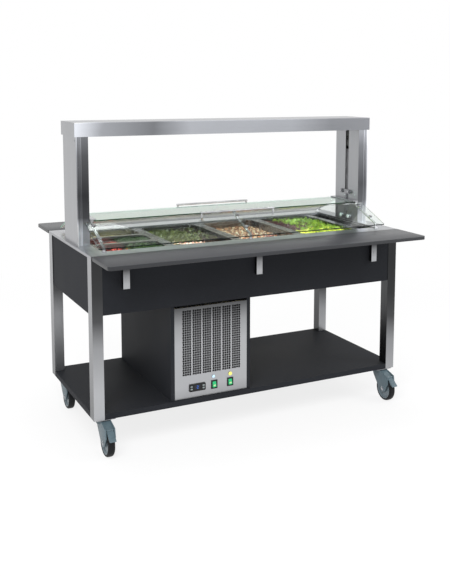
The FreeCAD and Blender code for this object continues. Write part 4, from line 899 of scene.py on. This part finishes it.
class SALADBAR_OT_housings(bpy.types.Operator):
    """Rounds the moulded castor housings and brake pedals"""

    bl_idname = "saladbar.housings"
    bl_label = "Castor housings"

    def execute(self, context):
        housing = tuple(context.scene.salad_bar.finishes.housing)
        grey = moulded("housing_moulding", housing, 0.4, 0.12, 0.08)
        for corner in CORNERS:
            softened("castor_fork_" + corner, "housing_" + corner, 0.0022, 3, grey)
        for corner in BRAKED_CORNERS:
            softened("brake_pedal_" + corner, "pedal_" + corner, 0.0014, 2, grey)
        return {"FINISHED"}


class SALADBAR_OT_boards(bpy.types.Operator):
    """Rounds the edges of the two tray boards"""

    bl_idname = "saladbar.boards"
    bl_label = "Tray boards"

    def execute(self, context):
        tray = tray_laminate("tray_laminate_edge", context.scene.salad_bar.finishes.laminate)
        softened("front_tray_board", "front_tray", 0.0015, 2, tray)
        softened("rear_tray_board", "rear_tray_top", 0.0015, 2, tray)
        return {"FINISHED"}


# ------------------------------------------------------------------ hood fittings and controls
def clamp_places():
    """Where the round clamps sit on both sloping panes, and how each is turned."""
    ridge_y, ridge_z, run, drop, lift = 0.115, 0.999, 0.204, 0.084, 0.0001
    slope = math.atan2(drop, run)
    places, turns = [], []
    for side in (-1, 1):
        for x in (-0.720, 0.0, 0.720):
            for share in (0.12, 0.62):
                places.append((x, side * (ridge_y + run * share), ridge_z - drop * share + lift))
                turns.append((-side * slope, 0.0, 0.0))
    return places, turns


class SALADBAR_OT_hood_fittings(bpy.types.Operator):
    """Adds the clamp caps, washers, gaskets, roller bolts and roller caps of the hood"""

    bl_idname = "saladbar.hood_fittings"
    bl_label = "Hood fittings"

    def execute(self, context):
        steel = polished_steel("cap_steel", (0.50, 0.505, 0.52), 0.16)
        black = moulded("black_rubber", (0.01, 0.01, 0.011), 0.6, 0.2, 0.1)
        nylon = moulded("roller_nylon", (0.70, 0.72, 0.72), 0.35, 0.05, 0.04)
        self.clamps(steel, black)
        self.gaskets(black)
        self.rollers(steel, nylon)
        return {"FINISHED"}

    def clamps(self, steel, black):
        cap = [(0.0001, 0.0034), (0.0050, 0.0034), (0.0074, 0.0022), (0.0080, 0.0008), (0.0080, 0.0002)]
        cap.append((0.0001, 0.0002))
        washer = [(0.0001, 0.0004), (0.0094, 0.0004), (0.0094, 0.0), (0.0001, 0.0)]
        places, turns = clamp_places()
        kinds = (("clamp_caps", cap, steel, "polished"), ("clamp_washers", washer, black, "black_plastic"))
        for name, profile, material, slot in kinds:
            bm = bmesh.new()
            add_lathe(bm, profile, 24, UPRIGHT)
            mesh = rows_of(name, to_mesh(name, bm), places, turns, material)
            new_piece(name, mesh, material, HOOD)

    def gaskets(self, black):
        """Strips under and over the end rails, by inner and outer place, half length, bottom and top."""
        under = (0.7124, 0.7268, 0.111, 0.9924, 0.9940)
        over = (0.7000, 0.7122, 0.1115, 1.00705, 1.0079)
        bm = bmesh.new()
        for side in (-1, 1):
            for inner, outer, half, bottom, top in (under, over):
                near, far = sorted((side * outer, side * inner))
                add_box(bm, (near, -half, bottom), (far, half, top))
        new_piece("rail_gaskets", to_mesh("rail_gaskets", bm), black, HOOD)

    def rollers(self, steel, nylon):
        bolt = [(0.0001, 0.0040), (0.0040, 0.0040), (0.0046, 0.0034), (0.0048, 0.0), (0.0001, 0.0)]
        cap = [(0.0001, 0.0022), (0.0088, 0.0022), (0.0104, 0.0010), (0.0104, 0.0), (0.0001, 0.0)]
        face, spread = 0.7157, 0.034
        bolts = ("roller_bolts", bolt, 1.050, steel, "polished")
        caps = ("roller_caps", cap, 0.914, nylon, "grey_key")
        for name, profile, height, material, slot in (bolts, caps):
            bm = bmesh.new()
            for side in (-1, 1):
                for y in (-spread, spread):
                    place = Matrix.Translation((side * face, y, height)) @ Matrix.Scale(-side, 4, (1, 0, 0))
                    add_lathe(bm, profile, 24, place)
            new_piece(name, to_mesh(name, bm, 35), material, HOOD)


class SALADBAR_OT_controls(bpy.types.Operator):
    """Adds the display digit, the rocker marks and the two pilot lenses"""

    bl_idname = "saladbar.controls"
    bl_label = "Controls"

    def execute(self, context):
        self.display()
        self.rocker_marks()
        self.pilots()
        return {"FINISHED"}

    def display(self):
        blue = glowing("display_blue", (0.02, 0.12, 0.55), 0.45)
        window = moulded("display_window", (0.004, 0.005, 0.012), 0.12, 0.1, 0.02)
        window_low, window_high = (-0.3218, -0.3532, 0.2232), (-0.2922, -0.3529, 0.2438)
        bm = bmesh.new()
        add_box(bm, window_low, window_high)
        new_piece("display_window", to_mesh("display_window", bm), window, CART)
        left, low, wide, tall, bar, inset = -0.3105, 0.2262, 0.0080, 0.0146, 0.0018, 0.0002
        front, back = -0.3534, -0.3531
        right, top = left + wide, low + tall
        middle_low, middle_high = low + tall / 2 - bar / 2, low + tall / 2 + bar / 2
        strokes = [(left, low, right, low + bar), (left, middle_low, right, middle_high)]
        strokes += [(left, top - bar, right, top), (left, low + bar, left + bar, middle_low)]
        strokes.append((right - bar, middle_high, right, top - bar))
        bm = bmesh.new()
        for x0, z0, x1, z1 in strokes:
            add_box(bm, (x0 + inset, front, z0 + inset), (x1 - inset, back, z1 - inset))
        new_piece("display_digit", to_mesh("display_digit", bm), blue, CART)

    def rocker_marks(self):
        """A plain pale mark on the raised half of each rocker."""
        mark = glowing("rocker_mark", (0.42, 0.62, 0.30), 0.22)
        half_wide, half_tall, front, height = 0.0052, 0.0062, -0.3548, 0.2268
        tilt = Matrix.Rotation(math.atan2(0.003, 0.0128), 4, "X")
        for body, node in (("cooling_switch", "cooling_rocker"), ("lamp_switch", "lamp_rocker")):
            bm = bmesh.new()
            place = Matrix.Translation((middle_of(node).x, front, height)) @ tilt
            for corner in add_box(bm, (-half_wide, -0.0007, -half_tall), (half_wide, 0.0006, half_tall)):
                corner.co = place @ corner.co
            bmesh.ops.bevel(bm, geom=list(bm.edges), offset=0.0003, segments=1, affect="EDGES")
            new_piece("mark_" + body, to_mesh("mark_" + body, bm), mark, body)

    def pilots(self):
        front, height, glow = -0.3520, 0.272, 0.25
        outwards = Matrix.Rotation(-math.pi / 2, 4, "Z")
        blue = ("pilot_blue", -0.225, 0.0070, (0.50, 0.72, 0.90))
        yellow = ("pilot_yellow", -0.139, 0.0090, (0.85, 0.76, 0.16))
        for name, x, radius, colour in (blue, yellow):
            dome = [(0.0001, 0.0030), (radius * 0.5, 0.0028), (radius * 0.85, 0.0020), (radius, 0.0006)]
            dome += [(radius, 0.0), (0.0001, 0.0)]
            bm = bmesh.new()
            add_lathe(bm, dome, 28, Matrix.Translation((x, front, height)) @ outwards)
            lens = glowing(name + "_lens", colour, glow)
            new_piece(name, to_mesh(name, bm, 40), lens, CART)


# ------------------------------------------------------------------ pan fillings
def bed_mesh(name, cx, cy, half_x, half_y, level, heap, seed, floor=None, keep=None):
    """Uneven heap inside a pan with rounded corners; keep limits it to a part of the pan."""
    nx, ny = 22, max(10, int(22 * half_y / half_x))
    bm = bmesh.new()
    radius = 0.030
    rows = []
    for j in range(ny + 1):
        row = []
        for i in range(nx + 1):
            u, v = 2 * i / nx - 1, 2 * j / ny - 1
            x, y = u * half_x, v * half_y
            ex, ey = abs(x) - (half_x - radius), abs(y) - (half_y - radius)
            if ex > 0 and ey > 0:
                far = math.hypot(ex, ey)
                if far > radius:
                    x = math.copysign(half_x - radius + ex * radius / far, x)
                    y = math.copysign(half_y - radius + ey * radius / far, y)
            rise = heap * (1 - abs(u) ** 3) * (1 - abs(v) ** 3)
            wave = 0.007 * noise.noise(Vector((x * 28 + seed, y * 28, seed * 1.7)))
            wave = wave * (1 - abs(u) ** 6) * (1 - abs(v) ** 6)
            row.append(bm.verts.new((cx + x, cy + y, level + rise + wave)))
        rows.append(row)
    for j in range(ny):
        for i in range(nx):
            middle = (rows[j][i].co + rows[j + 1][i + 1].co) / 2
            if keep is None or keep(middle.x - cx, middle.y - cy):
                bm.faces.new((rows[j][i], rows[j][i + 1], rows[j + 1][i + 1], rows[j + 1][i]))
    bmesh.ops.delete(bm, geom=[corner for corner in bm.verts if not corner.link_faces], context="VERTS")
    if floor is not None:
        rim = [edge for edge in bm.edges if len(edge.link_faces) == 1]
        for item in bmesh.ops.extrude_edge_only(bm, edges=rim)["geom"]:
            if isinstance(item, bmesh.types.BMVert):
                item.co.z = floor
        rim = [edge for edge in bm.edges if len(edge.link_faces) == 1]
        bmesh.ops.holes_fill(bm, edges=rim, sides=0)
        return to_mesh(name, bm, 60)
    mesh = bpy.data.meshes.new(name)
    bm.to_mesh(mesh)
    bm.free()
    return mesh


def cube_bit(size, squash=1.0):
    bm = bmesh.new()
    add_box(bm, (-size / 2, -size / 2, -size / 2), (size / 2, size / 2, size / 2 * squash))
    bmesh.ops.bevel(bm, geom=list(bm.edges), offset=size * 0.12, segments=1, affect="EDGES")
    return to_mesh("cube_bit", bm)


def ball_bit(radius, squash=1.0, rough=0.12):
    bm = bmesh.new()
    bmesh.ops.create_icosphere(bm, subdivisions=2, radius=radius)
    for v in bm.verts:
        v.co *= 1 + rough * noise.noise(v.co * 160)
        v.co.z *= squash
    return to_mesh("ball_bit", bm, 80)


def leaf_bit(size, curl, ruffle, bend=0.35, thick=0.0005):
    """Curled leaf with a ruffled rim and a little thickness."""
    bm = bmesh.new()
    n = 7
    sheets = []
    for side in (0.0, thick):
        grid = []
        for j in range(n + 1):
            row = []
            for i in range(n + 1):
                u, v = 2 * i / n - 1, j / n
                width = size * 0.42 * (0.25 + math.sin(math.pi * min(1.0, v * 0.85 + 0.12)))
                x, y = u * width, (v - 0.5) * size
                z = curl * size * u * u + bend * size * (v - 0.5) ** 2
                z += ruffle * size * math.sin(9 * v + 5 * u) * abs(u) ** 2
                row.append(bm.verts.new((x, y, z + side)))
            grid.append(row)
        sheets.append(grid)
    for grid in sheets:
        for j in range(n):
            for i in range(n):
                bm.faces.new((grid[j][i], grid[j][i + 1], grid[j + 1][i + 1], grid[j + 1][i]))
    ring = [(0, i) for i in range(n)] + [(j, n) for j in range(n)]
    ring += [(n, i) for i in range(n, 0, -1)] + [(j, 0) for j in range(n, 0, -1)]
    a, b = sheets
    for (p, q), (r, t) in zip(ring, ring[1:] + ring[:1]):
        bm.faces.new((a[p][q], a[r][t], b[r][t], b[p][q]))
    return to_mesh("leaf_bit", bm, 70)


def strip_bit(size, wide, thick, arc=1.1):
    """Short curved strip, such as a slice of pepper or cabbage."""
    bm = bmesh.new()
    n = 6
    rings = []
    for k in range(n + 1):
        a = (k / n - 0.5) * arc * 2
        radius = size / (2 * arc)
        mid = Vector((radius * math.sin(a), 0, radius * (1 - math.cos(a))))
        out = Vector((-math.sin(a), 0, math.cos(a)))
        ring = []
        for sy, so in ((-1, -1), (1, -1), (1, 1), (-1, 1)):
            ring.append(bm.verts.new(mid + Vector((0, sy * wide / 2, 0)) + out * so * thick / 2))
        rings.append(ring)
    for a, b in zip(rings, rings[1:]):
        for k in range(4):
            bm.faces.new((a[k], a[(k + 1) % 4], b[(k + 1) % 4], b[k]))
    bm.faces.new(rings[0])
    bm.faces.new(list(reversed(rings[-1])))
    return to_mesh("strip_bit", bm, 50)


def within(left=-1.0, right=1.0, front=-1.0, back=1.0):
    """Keeps what lies between these places, in metres from the middle of a pan."""
    return lambda x, y: left < x < right and front < y < back


class SALADBAR_OT_fillings(bpy.types.Operator):
    """Fills the pans: heaps of cut vegetables, salads and leaves"""

    bl_idname = "saladbar.fillings"
    bl_label = "Pan fillings"

    def execute(self, context):
        self.fillings = context.scene.salad_bar.fillings
        self.tree = scatter_tree()
        self.bits = {key: loose_object("bit_" + key, mesh) for key, mesh in self.cut_bits().items()}
        tones = self.tones()
        base, heap = 0.8852 - self.fillings.level, self.fillings.heap
        half_x, third_half, full_half = 0.146, 0.0715, 0.2485
        third_length = 0.530 / 3
        pans = []
        for number, (ground, layers) in enumerate(self.third_layers(tones), start=1):
            place = (-0.5595, (number - 2) * third_length)
            name = "third_filling_%d" % number
            pans.append((name, place, third_half, base + 0.008, heap * 0.7, ground, layers))
        dark = tones["dark"]
        first, second, third = self.full_layers(tones)
        pans.append(("full_filling_1", (-0.2175, 0.0), full_half, base, heap, dark, first))
        pans.append(("full_filling_2", (0.1245, 0.0), full_half, base, heap * 1.1, dark, second))
        pans.append(("full_filling_3", (0.4665, 0.0), full_half, base + 0.002, heap * 0.9, dark, third))
        for number, (name, place, half_y, level, rise, ground, layers) in enumerate(pans, start=1):
            self.fill(number, name, place, (half_x, half_y), level, rise, ground, layers)
        for thing in self.bits.values():
            bpy.data.objects.remove(thing)
        return {"FINISHED"}

    def cut_bits(self):
        return {
            "dice": cube_bit(0.011),
            "crumb": cube_bit(0.007),
            "ball": ball_bit(0.0085),
            "pea": ball_bit(0.0045, 1.0, 0.05),
            "round": ball_bit(0.0105, 0.35, 0.05),
            "leaf": leaf_bit(0.042, 0.5, 0.12),
            "small_leaf": leaf_bit(0.030, 0.55, 0.10, 0.5),
            "strip": strip_bit(0.026, 0.006, 0.0035),
            "shred": strip_bit(0.030, 0.003, 0.002, 0.8),
        }

    def tones(self):
        """Foods by name: dark tone, light tone, grain and, for leaves, roughness."""
        kinds = {
            "yellow": ((0.42, 0.32, 0.14), (0.70, 0.62, 0.36), 60),
            "cream": ((0.56, 0.47, 0.32), (0.78, 0.70, 0.54), 60),
            "red": ((0.30, 0.020, 0.014), (0.52, 0.06, 0.035), 70),
            "green": ((0.045, 0.055, 0.014), (0.14, 0.15, 0.045), 80),
            "dark_green": ((0.010, 0.030, 0.008), (0.04, 0.085, 0.018), 80),
            "grain": ((0.10, 0.090, 0.035), (0.26, 0.22, 0.10), 80),
            "dark": ((0.014, 0.010, 0.008), (0.06, 0.035, 0.022), 70),
            "pink": ((0.62, 0.24, 0.17), (0.80, 0.50, 0.38), 70),
            "white": ((0.66, 0.60, 0.50), (0.84, 0.80, 0.72), 50),
            "brown": ((0.13, 0.045, 0.022), (0.30, 0.12, 0.055), 70),
            "orange": ((0.34, 0.15, 0.07), (0.60, 0.34, 0.18), 50),
            "purple": ((0.06, 0.010, 0.030), (0.20, 0.045, 0.11), 60),
            "lettuce": ((0.10, 0.20, 0.008), (0.36, 0.50, 0.05), 40, 0.32),
            "radicchio": ((0.035, 0.008, 0.010), (0.15, 0.024, 0.032), 50),
            "pale_leaf": ((0.50, 0.56, 0.03), (0.76, 0.78, 0.14), 40, 0.3),
        }
        return {key: food("filling_" + key, *values) for key, values in kinds.items()}

    def third_layers(self, tones):
        """Ground and layers of the three small pans: food, bit, spacing and the part that it covers."""
        red, leaf, cream, yellow = tones["red"], tones["dark_green"], tones["cream"], tones["yellow"]
        front = [(red, "strip", 0.011, within(right=0.03)), (leaf, "small_leaf", 0.012, within(left=0.0))]
        front.append((cream, "crumb", 0.022, within(left=-0.04)))
        middle = [(red, "dice", 0.0125, within(right=0.02)), (leaf, "small_leaf", 0.014, within(left=0.0))]
        middle.append((cream, "crumb", 0.022, None))
        rear = [(yellow, "dice", 0.0115, None), (cream, "dice", 0.016, None), (leaf, "crumb", 0.040, None)]
        return [(tones["dark"], front), (tones["dark"], middle), (tones["grain"], rear)]

    def full_layers(self, tones):
        """Layers of the three large pans, from left to right."""
        first = [
            ("grain", "crumb", 0.0080, within(front=-0.08, right=0.09)),
            ("yellow", "crumb", 0.020, within(front=-0.08)),
            ("green", "small_leaf", 0.024, within(front=-0.10, right=0.11)),
            ("cream", "pea", 0.014, within(front=-0.10)),
            ("pink", "strip", 0.014, within(back=-0.07)),
            ("dark", "small_leaf", 0.018, within(left=0.05)),
            ("white", "dice", 0.014, within(back=-0.06)),
            ("orange", "crumb", 0.016, within(back=-0.06)),
            ("red", "crumb", 0.030, None),
        ]
        second = [
            ("brown", "strip", 0.015, None),
            ("orange", "crumb", 0.0095, within(back=0.20)),
            ("cream", "ball", 0.032, None),
            ("orange", "ball", 0.022, None),
            ("brown", "crumb", 0.010, within(front=0.02)),
            ("red", "crumb", 0.018, None),
            ("purple", "shred", 0.010, within(left=0.02, back=-0.10)),
            ("white", "round", 0.045, within(back=0.02)),
        ]
        third = [
            ("lettuce", "leaf", 0.020, within(front=-0.15, left=-0.06)),
            ("radicchio", "small_leaf", 0.012, within(right=0.03, front=-0.06)),
            ("radicchio", "small_leaf", 0.016, within(right=0.06, front=-0.10)),
            ("pale_leaf", "small_leaf", 0.011, within(back=-0.10)),
            ("lettuce", "small_leaf", 0.016, within(left=-0.04)),
        ]
        return [[(tones[kind], *rest) for kind, *rest in layers] for layers in (first, second, third)]

    def fill(self, number, name, place, half, level, heap, ground, layers):
        """A bed down to the pan's bottom, with layers of bits strewn over it."""
        seed = number * 3 + self.fillings.seed
        pan_bottom, inset, lift = 0.760, 0.007, 0.001
        new_piece(name, bed_mesh(name, *place, *half, level, heap, seed, floor=pan_bottom), ground, CART)
        for k, (material, bit, spacing, keep) in enumerate(layers):
            inner = (half[0] - inset, half[1] - inset)
            area = bed_mesh("area", *place, *inner, level + lift, heap, seed, keep=keep)
            inputs = {"Piece": self.bits[bit], "Spacing": spacing, "Seed": seed * 10 + k}
            inputs.update({"Smallest": 0.75, "Largest": 1.2, "Tumble": 0.18 if "leaf" in bit else 1.0})
            inputs["Material"] = material
            layer = "%s_%d" % (name, k)
            new_piece(layer, run_tree(self.tree, layer, area, inputs), material, CART)


class SALADBAR_OT_trim(bpy.types.Operator):
    """Adds rows of thin dark discs near the ends of the counter: painted shade where its small holes are"""

    bl_idname = "saladbar.trim"
    bl_label = "Counter holes"

    def execute(self, context):
        from_middle, first, pitch, count, surface = 0.791, -0.298, 0.018, 12, 0.8920
        # The discs are painted shade standing in for the insides of the holes.
        dark = moulded("hole_painted_shade", (0.006, 0.006, 0.007), 0.9, 0.1, 0.0, 0.1)
        bm = bmesh.new()
        add_lathe(bm, [(0.0001, 0.0002), (0.0020, 0.0002), (0.0021, 0.0), (0.0001, 0.0)], 12, UPRIGHT)
        places = []
        for side in (-1, 1):
            for k in range(count):
                places.append((side * from_middle, first + k * pitch, surface))
        turns = [(0, 0, 0)] * len(places)
        mesh = rows_of("counter_holes", to_mesh("counter_hole", bm), places, turns, dark)
        new_piece("counter_holes", mesh, dark, CART)
        return {"FINISHED"}


# ------------------------------------------------------------------ studio
def floor_material(tint):
    """Pale floor, white farther off for the camera, in mirrors and through glass."""
    r = Recipe("studio_floor")
    cloud = r.grain((0.7, 0.7, 0.7), 3.0)
    base = r.mix(r.span(cloud, 0.0, 1.0, 0.3, 0.7), rgb(tint, 0.985), rgb(tint, 1.0))
    matt = r.add("BsdfDiffuse", {"Color": base})
    glow = r.add("Emission", {"Color": (1, 1, 1, 1), "Strength": 1.0})
    path = r.add("LightPath")
    seen = r.math("MAXIMUM", path.outputs["Is Camera Ray"], path.outputs["Is Glossy Ray"])
    seen = r.math("MAXIMUM", seen, path.outputs["Is Transmission Ray"])
    distance = r.add("VectorMath", {0: r.coords}, operation="LENGTH").outputs["Value"]
    share = r.math("MULTIPLY", seen, r.span(distance, 0.82, 1.0, 1.2, 3.4))
    both = r.add("MixShader", {0: share, 1: matt.outputs[0], 2: glow.outputs[0]})
    r.tree.links.new(both.outputs[0], r.out.inputs["Surface"])
    return r.material


def white_room(ambient):
    """World that is white to the camera, in mirrors and through glass, and softer on matt surfaces."""
    world = bpy.data.worlds.new("white_room")
    world.use_nodes = True
    nodes, links = world.node_tree.nodes, world.node_tree.links
    nodes.clear()
    mix = nodes.new("ShaderNodeMixShader")
    for slot, strength in ((1, ambient), (2, 1.0)):
        background = nodes.new("ShaderNodeBackground")
        background.inputs[0].default_value = (1, 1, 1, 1)
        background.inputs[1].default_value = strength
        links.new(background.outputs[0], mix.inputs[slot])
    path = nodes.new("ShaderNodeLightPath")
    seen = path.outputs["Is Camera Ray"]
    for ray in ("Is Glossy Ray", "Is Transmission Ray"):
        either = nodes.new("ShaderNodeMath")
        either.operation = "MAXIMUM"
        links.new(seen, either.inputs[0])
        links.new(path.outputs[ray], either.inputs[1])
        seen = either.outputs[0]
    links.new(seen, mix.inputs[0])
    links.new(mix.outputs[0], nodes.new("ShaderNodeOutputWorld").inputs[0])
    return world


def hang_lamp(name, place, aim, size, power, mirrored_in_glass):
    data = bpy.data.lights.new(name, "AREA")
    data.shape = "DISK"
    data.size = size
    data.energy = power
    lamp = loose_object(name, data)
    lamp.location = place
    lamp.visible_glossy = mirrored_in_glass
    lamp.rotation_euler = (Vector(aim) - Vector(place)).to_track_quat("-Z", "Y").to_euler()


def set_camera(focal):
    """Camera by its standing point in metres, its yaw, pitch and roll in degrees, and its lens shift."""
    standing_point = (-1.8290, -3.8617, 1.6314)
    yaw, pitch, roll = (math.radians(angle) for angle in (27.841, 7.0225, -0.2968))
    data = bpy.data.cameras.new("view")
    data.sensor_width = 36.0
    data.lens = focal * 1000
    data.shift_x = -0.0641
    data.shift_y = -0.1742
    data.clip_start = 0.05
    level = math.cos(pitch)
    ahead = Vector((math.sin(yaw) * level, math.cos(yaw) * level, -math.sin(pitch)))
    right = Vector((math.cos(yaw), -math.sin(yaw), 0.0))
    down = ahead.cross(right)
    rolled_right = right * math.cos(roll) + down * math.sin(roll)
    rolled_down = down * math.cos(roll) - right * math.sin(roll)
    turn = Matrix((rolled_right, -rolled_down, -ahead)).transposed().to_4x4()
    view = loose_object("view", data)
    view.matrix_world = Matrix.Translation(standing_point) @ turn
    bpy.context.scene.camera = view


class SALADBAR_OT_stage(bpy.types.Operator):
    """Sets the floor, the white surroundings, the soft lights and the camera"""

    bl_idname = "saladbar.stage"
    bl_label = "Studio"

    def execute(self, context):
        studio, scene = context.scene.salad_bar.studio, context.scene
        scene.view_settings.view_transform = "Standard"
        half = 30
        corners = [(-half, -half, 0), (half, -half, 0), (half, half, 0), (-half, half, 0)]
        mesh = bpy.data.meshes.new("floor")
        mesh.from_pydata(corners, [], [(0, 1, 2, 3)])
        mesh.materials.append(floor_material(studio.floor))
        loose_object("floor", mesh)
        scene.world = white_room(studio.ambient)
        hang_lamp("key", (-2.6, -3.2, 3.8), (0.0, 0.0, 0.7), 2.6, studio.key, False)
        hang_lamp("fill", (3.4, -2.6, 2.8), (0.2, 0.0, 0.8), 2.4, studio.fill, True)
        hang_lamp("top", (0.0, 0.6, 4.2), (0.0, 0.0, 0.9), 3.0, studio.fill * 1.4, False)
        set_camera(studio.focal)
        return {"FINISHED"}


# ------------------------------------------------------------------ add-on
class SALADBAR_PT_panel(bpy.types.Panel):
    """Lists the makers and their settings"""

    bl_label = "Salad Bar"
    bl_idname = "SALADBAR_PT_panel"
    bl_space_type = "VIEW_3D"
    bl_region_type = "UI"
    bl_category = "Salad Bar"

    def draw(self, context):
        groups = context.scene.salad_bar
        for maker, group in MAKERS:
            self.layout.operator(maker.bl_idname)
            if group:
                part = getattr(groups, group)
                for key in part.__annotations__:
                    self.layout.prop(part, key)


MAKERS = [
    (SALADBAR_OT_stage, "studio"),
    (SALADBAR_OT_finishes, "finishes"),
    (SALADBAR_OT_grille, "sheets"),
    (SALADBAR_OT_dividers, None),
    (SALADBAR_OT_wheels, "wheels"),
    (SALADBAR_OT_housings, None),
    (SALADBAR_OT_boards, None),
    (SALADBAR_OT_hood_fittings, None),
    (SALADBAR_OT_controls, None),
    (SALADBAR_OT_trim, None),
    (SALADBAR_OT_fillings, "fillings"),
]
GROUPS = [
    SALADBAR_PG_finishes, SALADBAR_PG_sheets, SALADBAR_PG_wheels, SALADBAR_PG_fillings, SALADBAR_PG_studio,
    SALADBAR_PG_all,
]
CLASSES = GROUPS + [maker for maker, _ in MAKERS] + [SALADBAR_PT_panel]


def register():
    for item in CLASSES:
        bpy.utils.register_class(item)
    bpy.types.Scene.salad_bar = PointerProperty(type=SALADBAR_PG_all)


def unregister():
    del bpy.types.Scene.salad_bar
    for item in reversed(CLASSES):
        bpy.utils.unregister_class(item)


def main():
    register()
    for maker, _ in MAKERS:
        family, name = maker.bl_idname.split(".")
        getattr(getattr(bpy.ops, family), name)()


if __name__ == "__main__":
    main()
